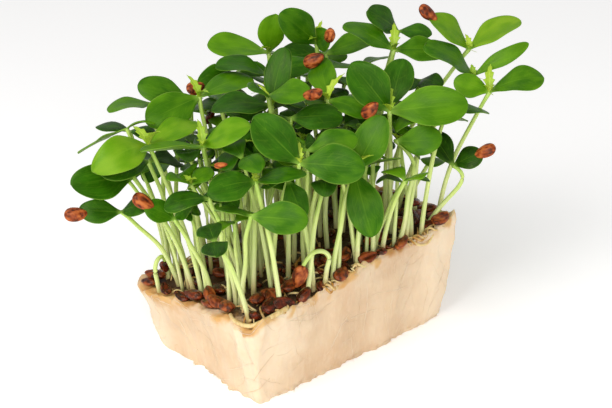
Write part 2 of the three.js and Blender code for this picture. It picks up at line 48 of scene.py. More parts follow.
# ---- Sizes shared with the solids ----
MAT_LENGTH, MAT_WIDTH, MAT_INSET, MAT_CORNER = 128, 88, 6, 3
HALF = np.array([MAT_LENGTH, MAT_WIDTH]) / 2
NEAR_LEFT, NEAR_RIGHT, FAR_LEFT, FAR_RIGHT = 45, 54, 32, 49
COLUMNS, ROWS, PITCH_X, PITCH_Y, SPREAD_X, SPREAD_Y = 8, 5, 15.2, 18.4, 5, 6
STEM_RADIUS = 1.15
SEED_LEAF = {"width": 16.5, "thick": 0.95, "widest": 0.54, "stalk": 0.12, "cup": 0.012}
TRUE_LEAF = {"width": 4.3, "thick": 0.55, "widest": 0.42, "stalk": 0.25, "cup": 0.05}
HULL_LENGTH, HULL_WIDTH, HULL_THICK = 11, 6.6, 4.6
LIGHT_AZIMUTH, LIGHT_RISE = -130, 27
FILL_SEED, FILL_TRIES, FILL_LEAST, FILL_BACK, FILL_LIFT = 41, 900, 0.5, 28, 18
SHORTEST_BUD = 5  # a true leaf shorter than this isn't out yet
DOME = 0.0022  # how much lower crowns stand for each square millimetre away from the middle
# A stem's two middle handles, as shares of the way from its foot to its crown, and how far a bow moves them.
LOW_HANDLE, HIGH_HANDLE, LOW_BOW, HIGH_BOW = np.array([0.14, 0.14, 0.4]), np.array([0.62, 0.62, 0.75]), 0.5, 1.4

# ---- Sizes of the looks alone ----
SAME_TIP = 0.3  # a leaf tip this near a solid's corner is that solid's leaf
STEM_DEPTH = 4  # how far below the top a stem starts
# The room that leaves, stems and hulls keep free round them, and the cells in which it and the light are counted.
LEAF_ROOM, STEM_ROOM, HULL_ROOM, ROOM_CELL, SIGHT_CELL, SIGHT_REACH = 1.4, 1.7, 3.2, 1.25, 1.5, 1.6
# The seedlings between the solids' ones: where they may stand, how far they may lean and reach, the heights under
# which only hidden leaves may be, in front and behind, and how many crowns and leaf sizes are tried.
FOOT_SPREAD, FOOT_LIMIT, FOOT_GAP = np.array([61, 41.5]), np.array([61.5, 41.5]), 2.5
MOST_LEAN, CROWN_X, CROWN_Y, OPEN_FRONT, OPEN_BACK = 0.55, 62, 52, 98, 85
CROWN_TRIES, CROWNS_KEPT, LEAF_TRIES, SMALL_LEAF, SMALL_HIDDEN = 200, 5, 8, 0.45, 0.7
STEPS_ROUND, LENGTH_ROUND = 4096, 410  # steps round the mat's outline, and its length
# The hulls between the stems: spots tried, how many lie there, and how far they keep from each other and from the
# ones that are solids.
LITTER_TRIES, LITTER_COUNT, LITTER_GAP, LYING_GAP = 2500, 90, 5.5, 8
LOOKS_SEED = 20

# foot x, y | crown x, y, z | seed leaf: azimuth, rise, length, tilt, arch, share of width | the other one
# | length of the first true leaves, 0 for none | bow of the stem, where it has one
PLACED = [
    [(-58, 9), (-61.7, 26.9, 109.3), (-176, -2, 31, 45, 6, 1), (-8, 12, 27, 30, 2, 1), 15],
    [(-45, 2), (-47, 6, 111), (174, 12, 31, 6, 0.5, 1), (-60, 28, 26, 30, 2, 1), 13],
    [(-52, 20), (-61.2, 29.5, 100.8), (-174, 9, 27, 35, 2, 1), (10, -22, 22, 30, 2, 1), 0],
    [(-59, 15), (-69, 31, 95), (174, 9, 31, 45, 1.5, 1), (60, 5, 16, 30, 2, 1), 0],
    [(-36, 30), (-28.2, 39.5, 116.8), (150, 22, 26, 30, 2, 1), (110, -25, 12, 20, 1, 1), 0],
    [(-44, 38), (-40, 55, 115), (178, 11, 24, 20, 1, 1), (20, -4, 18, 20, 2, 1), 0],
    [(-30, 22), (-26.8, 34.5, 120.2), (176, -8, 29, 50, 2, 1), (-8, 5, 29, 10, 2, 1), 12],
    [(-2, 34), (4.8, 46.5, 118.8), (-178, 2, 24, 40, 2, 1), (-30, 0, 15, 20, 2, 1), 0],
    [(-14, 26), (-16, 33, 111), (-55, 0, 20, 50, 2, 1), (100, -10, 18, 20, 2, 1), 0],
    [(18, 34), (23.8, 45.5, 124.8), (140, 9, 30, 10, 1, 1), (-100, 73, 22, 55, 1, 1), 11],
    [(9, 25), (12, 32, 120), (152, 18, 26, 10, 3, 1), (-30, 6, 24, 30, 2, 1), 0],
    [(6, 12), (-1.6, 13.2, 114.3), (20, 60, 28, 20, 1, 0.8), (166, 12, 30, 20, 2, 1), 12],
    [(-4, -8), (-1, 0, 112), (-50, 2, 24, 45, 2, 1), (170, -4, 20, 30, 2, 1), 0],
    [(-10, 0), (-5.5, 10, 121.5), (-74, 13, 24, 20, 2, 1), (-170, 35, 14, 20, 1, 1), 0],
    [(36, 30), (40.3, 28.9, 129.3), (172, 48, 27, 55, 1, 1), (-110, 29, 20, 60, 1, 1), 12],
    [(42, 18), (48.4, 32.2, 120.3), (160, 4, 24, 35, 2, 1), (-30, 10, 24, 30, 2, 1), 0],
    [(12, -12), (16, -7, 118), (58, 25, 27, 5, 1, 0.85), (-60, -18, 20, 30, 2, 1), 14],
    [(32, -26), (33, -30, 114), (146, 56, 30, 55, 1.5, 1.05), (-38, 3, 36, 60, 1.5, 1.08), 15],
    [(38, -18), (40, -23, 111), (28, 41, 26, 20, 1, 1), (150, 5, 18, 20, 2, 1), 0],
    [(26, -38), (32, -35, 101), (-45, -2, 21, 70, 1, 1.15), (-30, -42, 15, 0, 1, 0.8), 0, (9, -5)],
    [(-12, -28), (-13, -26, 108), (-35, 10, 23, 35, 2, 1), (140, 10, 16, 10, 2, 1), 0],
    [(50, 4), (64, 0, 127), (127, 27, 27, 18, 1, 1), (-40, -6, 24, 30, 2, 1), 14],
    [(56, 14), (77, 11, 130), (176, 41, 24, 40, 1, 1), (-60, 2, 17, 20, 1, 0.9), 0],
    [(52, -8), (70, -12, 113), (175, 0, 18, 30, 1, 1), (-100, 5, 16, 40, 2, 1), 0],
    [(60, -14), (84, -33, 117), (154, 38, 30, 16, 2.5, 1), (-36, 30, 30, 40, 1.5, 0.45), 6],
    [(55, -2), (90.7, -23.5, 126), (150, 46, 27, 20, 1.5, 1), (-32, 25, 28, 16, 2.5, 1), 8],
    [(59, -36), (80.6, -47, 113.8), (130, 19, 17.5, 40, 1, 1), (-42, 13, 26, 12, 3, 1), 14],
    [(50, -37), (60, -44, 82), (-45, 26, 15, 30, 1, 1), (95, 38, 20, 30, 1, 1), 0, (9, -8)],
    [(-43, -38), (-40.8, -23.2, 101.2), (168, 11, 24, 45, 2, 1), (-45, 10, 23, 12, 1.5, 1), 6],
    [(-22, -18), (-21, -30, 106), (142, 51, 30, 55, 1, 1.05), (-45, -4, 29, 55, 1, 1.05), 10],
    [(-16, -38), (7, -34, 94), (-108, -52, 31, 80, 1, 0.95), (-10, 50, 28, 60, 1.5, 1), 12],
    [(-57, -29), (-50.2, -30.8, 90.8), (-45, -6, 25, 55, 1, 1), (140, 12, 16, 0, 1, 1), 0],
    [(-59, -20), (-59, -13, 96), (150, -4, 20, 20, 2, 1), (20, 0, 20, 30, 2, 1), 0],
    [(-34, -26), (-26.8, -28.2, 99.2), (-100, -50, 19, 30, 1, 1), (100, -20, 16, 30, 2, 1), 0],
    [(-59, 28), (-79, 28, 82), (150, 4, 19, 40, 1, 1), (-60, 20, 16, 30, 1, 1), 0],
    [(-60, 0), (-64.8, 6.8, 80.6), (140, 36, 15, 40, 1, 1), (-40, 40, 12, 20, 1, 1), 0],
]
# Hulls still worn at a leaf's tip: seedling, its leaf, roll.
WORN_HULLS = [(7, 0, 10), (13, 0, 0), (14, 1, 0), (25, 0, 15), (27, 0, 0), (34, 0, 0), (35, 0, 0)]
SPROUT_FOOT = (-18, -38)
SPROUT_PATH = [
    (-16.2, -39.8, 55), (-14.8, -40, 60), (-17.4, -39.6, 64), (-22, -39, 65.3), (-26, -38.2, 63),
    (-28.8, -37.6, 59), (-30.2, -37.2, 55.5),
]
# Hulls lying on the mat, in heaps: x, y, heading, slope of each.
LYING_HULLS = [
    [(-59.5, -13, 95, 5), (-59.8, -21, 70, -8)],
    [(-46.5, -27.5, 20, 0), (-40.5, -29.5, -35, 8)],
    [(-59.5, 5, 100, 0)],
    [(-30, -30, 10, 5), (-24, -29, 60, -8)],
    [(-4, -29, -20, 0), (2, -30.5, 35, 6)],
    [(22, -29, 0, 0), (28, -27.5, 50, 10)],
    [(43, -28, -40, 0), (49, -29, 20, 8)],
    [(-58, 38, 120, 0)],
]
# Hulls between the stems near the rims: x, y, height above the top, heading, slope, roll, size, how wet.
NEAR_HULLS = [
    (-47.5, -37.5, 2.6, 30, 12, 20, 1.0, 1.0), (-42.5, -40.5, 1.8, -20, -8, 60, 0.95, 0.9),
    (-44, -33.5, 3.2, 80, 20, 0, 0.85, 0.75), (-56, -35, 0.4, 75, -20, 40, 0.9, 1.0),
    (-22.6, -34, 1.6, 10, 12, -30, 0.85, 0.6), (-31, -40.8, 1.6, 10, 30, 10, 0.8, 0.8),
    (-9.5, -41.8, 1.5, 25, 5, 15, 0.95, 0.55), (7, -41.4, 1.2, -15, 8, 30, 0.9, 0.7),
    (15.3, -41.6, 1.4, 60, -15, 0, 0.75, 0.95), (28, -41.8, 1.6, 20, 10, -20, 0.9, 0.4),
    (53.7, -41.5, 2.4, 12, 6, 10, 1.05, 0.15), (45, -30.5, 5.5, 70, 25, 0, 1.0, 1.0),
    (50, -27, 8.5, 20, -20, 0, 0.9, 0.95), (-62, 11, 1.8, 100, 10, 0, 0.8, 0.95),
    (-56, -3, 2.4, 60, 18, 20, 0.9, 0.3), (-61.5, -9, 1.2, 95, 0, 30, 0.8, 0.6),
    (-62, 24, 1.6, 70, 12, 0, 0.75, 0.9), (-62.2, 38, 1.0, 110, -6, 0, 0.75, 0.6),
]
# Hulls caught between the leaves: middle x, y and z, heading, slope, roll, size, how wet.
CAUGHT_HULLS = [
    (-12.9, 46.8, 102.6, -60, 62, 0, 0.85, 0.9), (24.2, 11.9, 130.1, -39, 24, 66, 0.95, 0.1),
    (21.6, -29.5, 118, -39, 42, 60, 0.9, 0), (-54.6, -17.6, 112.4, -39, 6, 0, 0.55, 0),
]
# The hooked sprout at the left corner, from its foot to its tip.
CORNER_SPROUT = [
    (-61.5, 30, 30), (-62.4, 30, 38), (-63, 29.9, 45), (-61.6, 30, 49), (-58.8, 30.5, 50.2), (-56.8, 31.2, 48.4),
    (-56, 31.8, 46),
]


# ---- Directions, dice and swells ----
DICE_STEP, DICE_END = 48271, 2147483647


def dice(seed):
    """Numbers that repeat in the same order every time: each state is the last one times 48271, modulo 2^31 - 1."""
    state = seed

    def roll(low, high):
        nonlocal state
        state = (state * DICE_STEP) % DICE_END
        return low + (high - low) * state / DICE_END

    return roll


def direction(azimuth, rise):
    """The unit vector at an azimuth round +Z and a rise above level, both in degrees."""
    a, r = math.radians(azimuth), math.radians(rise)
    return np.array([math.cos(a) * math.cos(r), math.sin(a) * math.cos(r), math.sin(r)])


def unit(v):
    return v / np.maximum(np.linalg.norm(v, axis=-1, keepdims=True), 1e-12)


def turns(count):
    """A full turn in even steps."""
    return np.linspace(0, 2 * np.pi, count, endpoint=False)


def swell(points, size, seed, waves=9):
    """A soft random relief from about -1 to 1: the mean of sine waves of about that size, each its own way."""
    random = np.random.default_rng(seed)
    ways = unit(random.normal(size=(waves, 3))) * (2 * np.pi / size) * random.uniform(0.7, 1.5, (waves, 1))
    return np.sin(points @ ways.T + random.uniform(0, 2 * np.pi, waves)).sum(-1) * math.sqrt(2 / waves) / 1.6


def smooth(low, high, x):
    """0 below low, 1 above high and an S-curve between."""
    t = np.clip((x - low) / (high - low), 0, 1)
    return t * t * (3 - 2 * t)


# ---- Meshes from rings ----
class Skin:
    """Closed surfaces collected into one mesh. Each is a grid of rings, rows x columns, with a pole at each end."""

    def __init__(self):
        self.points, self.quads, self.fans, self.quad_finish, self.fan_finish = ([] for _ in range(5))
        self.blade, self.tone, self.count = [], [], 0

    def add(self, first, rings, last, finish, blade, tone):
        """One surface: the pole points first and last, its rings, its finish by number, and the values for it."""
        rows, columns = rings.shape[:2]
        points = np.concatenate([[first], rings.reshape(-1, 3), [last]])
        i = np.arange(columns)
        j = (i + 1) % columns
        row = 1 + columns * np.arange(rows - 1)[:, None]
        quads = np.stack([row + i, row + j, row + columns + j, row + columns + i], -1).reshape(-1, 4)
        top = 1 + (rows - 1) * columns
        fans = np.concatenate([
            np.stack([0 * i, 1 + j, 1 + i], -1),
            np.stack([0 * i + len(points) - 1, top + i, top + j], -1),
        ])
        # The signed volume tells whether the faces point out; if they don't, each is turned over.
        middle = points.mean(0)
        a, b, c, d = (points[quads[:, k]] - middle for k in range(4))
        volume = np.einsum("ij,ij->", a, np.cross(b, c)) + np.einsum("ij,ij->", a, np.cross(c, d))
        if volume < 0:
            quads, fans = quads[:, ::-1], fans[:, ::-1]
        self.points.append(points)
        self.quads.append(quads + self.count)
        self.fans.append(fans + self.count)
        self.quad_finish.append(np.full(len(quads), finish))
        self.fan_finish.append(np.full(len(fans), finish))
        flat = blade.reshape(-1, 3)
        self.blade.append(np.concatenate([flat[:1], flat, flat[-1:]]))
        self.tone.append(np.broadcast_to(np.asarray(tone, float), (len(points), 3)))
        self.count += len(points)

    def piece(self, name, finishes, slot, replaced=()):
        """The mesh object, riding on the part, with its attributes `blade` and `tone` for the finishes."""
        mesh = bpy.data.meshes.new(name)
        quads, fans = np.concatenate(self.quads), np.concatenate(self.fans)
        mesh.from_pydata((np.concatenate(self.points) * MM).tolist(), [], quads.tolist() + fans.tolist())
        for finish in finishes:
            mesh.materials.append(finish)
        finish_of = np.concatenate(self.quad_finish + self.fan_finish)
        mesh.polygons.foreach_set("material_index", finish_of.astype(np.int32))
        mesh.polygons.foreach_set("use_smooth", np.ones(len(mesh.polygons), bool))
        for label, values in (("blade", self.blade), ("tone", self.tone)):
            attribute = mesh.attributes.new(label, "FLOAT_VECTOR", "POINT")
            attribute.data.foreach_set("vector", np.concatenate(values).astype(np.float32).ravel())
        mesh.update()
        thing = bpy.data.objects.new(name, mesh)
        bpy.context.scene.collection.objects.link(thing)
        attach(thing, "root")
        if replaced:
            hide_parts(*replaced)


def tube(skin, path, radius, sides, finish, tone, squash=1.0, normal=(0, 0, 1)):
    """A round section carried along a path of points; radius is one value or one for each point."""
    tangent = unit(np.gradient(path, axis=0))
    across = unit(np.cross(tangent, np.asarray(normal, float) + 1e-3))
    up = np.cross(across, tangent)
    a = turns(sides)
    r = np.broadcast_to(radius, len(path))[:, None, None]
    rings = path[:, None] + r * (np.cos(a)[:, None] * across[:, None] + squash * np.sin(a)[:, None] * up[:, None])
    along = np.linspace(0, 1, len(path))[:, None] + 0 * a
    blade = np.stack([along, a / (2 * np.pi) + 0 * along, 0 * along], -1)
    end = radius if np.isscalar(radius) else radius[-1]
    skin.add(path[0], rings, path[-1] + tangent[-1] * end * 0.6, finish, blade, tone)


# ---- The stand: where each seedling grows ----
def top_height(x, y):
    """Height of the matted top: its four corners blended, with low swells."""
    s, t = np.clip(x / MAT_LENGTH + 0.5, 0, 1), np.clip(y / MAT_WIDTH + 0.5, 0, 1)
    near = NEAR_LEFT + (NEAR_RIGHT - NEAR_LEFT) * s
    far = FAR_LEFT + (FAR_RIGHT - FAR_LEFT) * s
    return near + (far - near) * t + 0.9 * np.sin(x / 9 + 1) + 0.8 * np.sin(y / 8 + x / 21)


def all_places():
    """Three places to a tuft: along the edge for tufts at the edge, crosswise in turn for the ones inside."""
    found = []
    for row in range(ROWS):
        for column in range(COLUMNS):
            side, end = column in (0, COLUMNS - 1), row in (0, ROWS - 1)
            along_y = not end if side else not end and (row + column) % 2 == 1
            x = (column - (COLUMNS - 1) / 2) * PITCH_X
            y = (row - (ROWS - 1) / 2) * PITCH_Y * (1 if not end else 0.94 if side else 1.04)
            spread = SPREAD_X * (0.92 if side and end else 1)
            for step in (-1, 0, 1):
                bow = 0 if side and end else 0.6 * (1 - 2 * abs(step))
                at = (x + bow, y + step * SPREAD_Y) if along_y else (x + step * spread, y + bow)
                found.append({"tuft": row * COLUMNS + column, "at": at, "free": True, "index": len(found)})
    return found


def take_place(places, x, y):
    """The nearest place that nobody has taken yet."""
    nearest = min((p for p in places if p["free"]), key=lambda p: (p["at"][0] - x) ** 2 + (p["at"][1] - y) ** 2)
    nearest["free"] = False
    return nearest


def blade_frame(base, azimuth, rise, facing, tilt):
    """A blade's axes: along it, out of its upper face, and across it."""
    along = direction(azimuth, rise)
    up = direction(facing, 90 - tilt)
    up = unit(up - along * (up @ along))
    return {"base": np.array(base, float), "along": along, "up": up, "side": np.cross(along, up)}


def seedling(place, crown, leaves, bud, bow=(0, 0)):
    """A seedling as numbers: two seed leaves, a pair of true leaves if bud is over 0, and its stem's four handles."""
    x, y = place["at"]
    foot = np.array([x, y, top_height(x, y)])
    crown = np.array(crown, float)
    seed_leaves = [
        {
            **SEED_LEAF,
            "length": length,
            "arch": arch,
            "width": SEED_LEAF["width"] * share * min(max(length / 28, 0.72), 1.06),
            **blade_frame(crown, azimuth, rise, facing, tilt),
        }
        for azimuth, rise, length, tilt, arch, share, facing in leaves
    ]
    across = (leaves[0][0] + leaves[1][0]) / 2
    true_leaves = [
        {
            **TRUE_LEAF,
            "length": bud * (1 - 0.15 * i),
            "arch": 1,
            "azimuth": across + 180 * i,
            "width": TRUE_LEAF["width"] * min(max(bud / 14, 0.7), 1.1),
            **blade_frame(crown, across + 180 * i, 60 - 14 * i, across + 180 * i + 180, 30),
        }
        for i in range(2 if bud > 0 else 0)
    ]
    run, bend = crown - foot, np.array([*bow, 0.0])
    low, high = foot + (run * LOW_HANDLE + LOW_BOW * bend), foot + (run * HIGH_HANDLE + HIGH_BOW * bend)
    return {
        "tuft": place["tuft"], "crown": crown, "foot": foot,
        "leaves": seed_leaves, "buds": true_leaves, "stem": (foot, low, high, crown),
    }


def tip_of(leaf):
    """The point of a blade's tip."""
    return leaf["base"] + leaf["along"] * leaf["length"]


def try_at(place, roll, size):
    """One try at a seedling for a place: its crown leans out of the middle, under a domed canopy. The nearer the
    place is to the light, the further back and the higher its crown."""
    x, y = place["at"]
    away = direction(LIGHT_AZIMUTH + 180, 0)
    near = min(max(0.5 - (x * away[0] + y * away[1]) / 100, 0), 1)
    lean = roll(0.02, 0.2)
    back = roll(0, FILL_BACK) * near
    crown = [
        x * (1 + lean) + away[0] * back + roll(-8, 8),
        y * (1 + lean) + away[1] * back + roll(-8, 8),
        roll(80 + FILL_LIFT * near, 127) - DOME * (x * x + y * y),
    ]
    azimuth = roll(0, 360)
    facing = math.degrees(math.atan2(crown[1], crown[0])) + roll(-40, 40)
    tilt = roll(8, 36)
    one = (azimuth, roll(-12, 32), roll(20, 28) * size, tilt, roll(0.5, 3.5), 1, facing)
    other = (azimuth + 180 + roll(-20, 20), roll(-12, 32), roll(19, 27) * size, tilt, roll(0.5, 3.5), 1, facing)
    bud = roll(-14, 12)
    return seedling(place, crown, (one, other), bud if bud > SHORTEST_BUD else 0)


def stands_in(plant, corners):
    """True if both seed leaves' tips are corners of the tuft's solid."""
    return all(np.linalg.norm(corners - tip_of(leaf), axis=1).min() < SAME_TIP for leaf in plant["leaves"])


def node_corners(name):
    """The corners of a CAD node, in millimetres."""
    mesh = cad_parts[name].data
    co = np.empty(len(mesh.vertices) * 3, np.float32)
    mesh.vertices.foreach_get("co", co)
    return co.reshape(-1, 3) / MM


def fill_seedlings(places):
    """For every place still free, the try that the tuft's solid was made from."""
    made = []
    for place in [p for p in places if p["free"]]:
        corners = node_corners(f"tuft_{place['tuft'] + 1:02d}")
        roll = dice(FILL_SEED + 97 * place["index"])
        for tries in range(FILL_TRIES):
            plant = try_at(place, roll, 1 + (FILL_LEAST - 1) * tries / FILL_TRIES)
            if stands_in(plant, corners):
                made.append(plant)
                break
    return made


# ---- More seedlings, between and behind the ones that the solids show ----
def probes(plant):
    """Points all over a seedling: on its seed leaves, and on its stem and true leaves."""
    u, v = np.meshgrid(np.linspace(0.03, 0.98, 13), np.linspace(-0.95, 0.95, 7), indexing="ij")
    wide = np.concatenate([blade_points(leaf, u, v).reshape(-1, 3) for leaf in plant["leaves"]])
    slim = [bezier(plant["stem"], np.linspace(0.03, 0.98, 60))]
    slim += [blade_points(leaf, np.array([0.15, 0.4, 0.7, 0.97]), np.zeros(4)) for leaf in plant["buds"]]
    return wide, np.concatenate(slim)


class Lattice:
    """Cells of even size over a box. Marking points takes every cell whose middle is near one of them."""

    def __init__(self, low, high, cell, empty):
        self.low, self.cell = np.array(low, float), cell
        self.values = np.full(np.ceil((np.array(high) - low) / cell).astype(int) + 1, empty)

    def index(self, points):
        """The cell of each point."""
        cells = ((points - self.low) / self.cell).round().astype(int)
        return tuple(np.clip(cells, 0, np.array(self.values.shape) - 1).T)

    def around(self, points, reach):
        """The cells within reach of each point, and how many there are to a point."""
        steps = np.arange(-int(reach / self.cell) - 1, int(reach / self.cell) + 2) * self.cell
        offsets = np.stack(np.meshgrid(*[steps] * len(self.low), indexing="ij"), -1).reshape(-1, len(self.low))
        offsets = offsets[np.linalg.norm(offsets, axis=1) <= reach]
        return self.index((points[:, None] + offsets).reshape(-1, len(self.low))), len(offsets)


class Stand:
    """What room the seedlings leave, and which lines to the light the outer ones need."""

    def __init__(self, standing, lit_plants, obstacles):
        lamp = blade_frame([0, 0, 0], LIGHT_AZIMUTH, LIGHT_RISE, 0, 0)
        self.view = np.stack([lamp["side"], lamp["up"], lamp["along"]], 1)
        self.room = Lattice([-112, -80, 20], [118, 84, 158], ROOM_CELL, False)
        self.lit = Lattice([-160, -100], [160, 200], SIGHT_CELL, 1e9)
        self.screen = Lattice([-160, -100], [160, 200], SIGHT_CELL, -1e9)
        self.feet = []
        self.take(obstacles, HULL_ROOM)
        for plant in standing:
            self.add(plant)
        for plant in lit_plants:
            self.mark(self.lit, np.minimum, probes(plant)[0])

    def mark(self, lattice, least_or_most, points):
        """Keeps the least or the greatest depth of the points round each cell, as seen from the light."""
        seen = points @ self.view
        cells, many = lattice.around(seen[:, :2], SIGHT_REACH)
        least_or_most.at(lattice.values, cells, np.repeat(seen[:, 2], many))

    def take(self, points, reach):
        """Marks the room round points as taken."""
        self.room.values[self.room.around(points, reach)[0]] = True

    def add(self, plant):
        """Takes a seedling's room, and keeps how near the light its leaves stand."""
        wide, slim = probes(plant)
        self.take(wide, LEAF_ROOM)
        self.take(slim, STEM_ROOM)
        self.mark(self.screen, np.maximum, wide)
        self.feet.append(plant["foot"][:2])

    def suits(self, plant, shade, hidden):
        """True if a seedling has room, takes little light and, where it has to be hidden, stands behind others."""
        foot, crown = plant["foot"], plant["crown"]
        run = crown - foot
        if math.hypot(run[0], run[1]) > MOST_LEAN * run[2] or abs(crown[0]) > CROWN_X or abs(crown[1]) > CROWN_Y:
            return False
        wide, slim = probes(plant)
        if self.room.values[self.room.index(slim)].any() or self.room.values[self.room.index(wide)].any():
            return False
        seen = wide @ self.view
        behind = (seen[:, 2] < self.screen.values[self.screen.index(seen[:, :2])]).mean()
        low = wide[:, 2].min() < (OPEN_FRONT if foot[1] < 5 or foot[0] < -35 else OPEN_BACK)
        return self.shading(wide) <= shade and self.shading(slim) <= 0.02 and behind >= max(hidden, 0.6 * low)

    def shading(self, points):
        """The share of the points that stand between the light and an outer seedling's leaf."""
        seen = points @ self.view
        depth = self.lit.values[self.lit.index(seen[..., :2].reshape(-1, 2))].reshape(seen.shape[:-1])
        return (seen[..., 2] > depth).mean(0)


def more_seedlings(stand, wanted, random, region, aside, heights, sizes, shade, spots, beside):
    """Seedlings on free spots of a region of the mat. For each spot, stems to many crowns are tried at once; the ones
    with room then get a pair of leaves, smaller and smaller, until it has room and takes little light from the
    outer seedlings. With neighbours given, each grows beside one of them, and its crown is just behind."""
    made = []
    t = np.linspace(0.03, 0.98, 60)[:, None]
    around = np.array([4.0 * direction(turn, 10) for turn in range(0, 360, 45)])[:, None]
    for _ in range(spots):
        foot = outline(random.uniform(0, 2 * np.pi)) * FOOT_SPREAD * random.uniform(0, 1) ** 0.45
        if beside:
            neighbour = beside[random.integers(len(beside))]
            foot = neighbour["foot"][:2] + random.uniform(2.5, 4) * direction(random.uniform(0, 360), 0)[:2]
            foot = np.clip(foot, -FOOT_LIMIT, FOOT_LIMIT)
        crowded = np.linalg.norm(np.array(stand.feet) - foot, axis=1).min() < FOOT_GAP
        if len(made) == wanted or not region(*foot) or crowded:
            continue
        base = np.array([*foot, top_height(*foot)])
        level = foot * (1 + random.uniform(0, 0.2, (CROWN_TRIES, 1))) + aside
        level = level + random.uniform(-12, 12, (CROWN_TRIES, 2))
        crowns = np.column_stack([level, random.uniform(*heights, CROWN_TRIES) - DOME * (level ** 2).sum(1)])
        if beside:
            behind = neighbour["crown"] + 5 * direction(LIGHT_AZIMUTH + 180, -25)
            crowns = behind + random.uniform(-6, 6, (CROWN_TRIES, 3))
        run = crowns - base
        paths = bezier((base, base + run * LOW_HANDLE, base + run * HIGH_HANDLE, crowns), t)
        taken = stand.room.values[stand.room.index(paths.reshape(-1, 3))].reshape(len(t), -1).any(0)
        near = crowns[~taken] + around
        free = ~stand.room.values[stand.room.index(near.reshape(-1, 3))].reshape(len(around), -1)
        plant = None
        open_crowns = crowns[~taken][free.all(0) & (stand.shading(near) < 0.1)]
        for crown in open_crowns[:CROWNS_KEPT]:
            for size in np.linspace(*sizes, LEAF_TRIES):
                azimuth, tilt = random.uniform(0, 360), random.uniform(8, 36)
                facing = math.degrees(math.atan2(crown[1], crown[0])) + random.uniform(-40, 40)
                pair = [
                    (azimuth + turn, random.uniform(-8, 34), random.uniform(21, 28) * size, tilt,
                     random.uniform(0.5, 3), 1, facing)
                    for turn in (0, 180 + random.uniform(-20, 20))
                ]
                bud = random.uniform(-14, 12)
                plant = seedling({"tuft": -1, "at": foot}, crown, pair, bud if bud > SHORTEST_BUD else 0)
                if stand.suits(plant, shade, SMALL_HIDDEN if size < SMALL_LEAF else 0):
                    break
                plant = None
            if plant:
                made.append(plant)
                stand.add(plant)
                break
    return made


places = all_places()
sprout_place = take_place(places, *SPROUT_FOOT)
placed = [
    seedling(take_place(places, *foot), crown, [(*one, LIGHT_AZIMUTH), (*two, LIGHT_AZIMUTH)], bud, *bow)
    for foot, crown, one, two, bud, *bow in PLACED
]
filled = fill_seedlings(places)


# ---- Blades ----
def blade_profile(u, kind):
    """Half the width as a share of the greatest: a stalk that swells as a sine, then a quarter ellipse to the tip."""
    rising = kind["stalk"] + (1 - kind["stalk"]) * np.sin(np.pi / 2 * np.clip(u / kind["widest"], 0, 1)) ** 1.4
    falling = np.sqrt(np.clip(1 - ((u - kind["widest"]) / (1 - kind["widest"])) ** 2, 0, 1))
    return np.where(u < kind["widest"], rising, falling)


def toothed_profile(u, kind):
    """A pointed blade with three pairs of forward teeth: a swelling and a tapering side, times a sawtooth."""
    rising = kind["stalk"] + (1 - kind["stalk"]) * np.sin(np.pi / 2 * np.clip(u / kind["widest"], 0, 1)) ** 1.2
    falling = np.clip(1 - ((np.maximum(u, kind["widest"]) - kind["widest"]) / (1.01 - kind["widest"])) ** 1.4, 0, 1)
    tooth = (u * 4.2 + 0.15) % 1
    return np.where(u < kind["widest"], rising, falling) * (1 + smooth(0.2, 0.35, u) * (0.75 * tooth ** 1.5 - 0.25))


def blade_points(leaf, u, v):
    """The middle surface of a plain blade: it arches along and cups across."""
    half = leaf["width"] / 2 * blade_profile(u, leaf)
    lift = leaf["arch"] * 4 * u * (1 - u) + leaf["cup"] * (v * half) ** 2
    return (
        leaf["base"] + leaf["along"] * (leaf["length"] * u)[..., None]
        + leaf["side"] * (v * half)[..., None] + leaf["up"] * lift[..., None]
    )


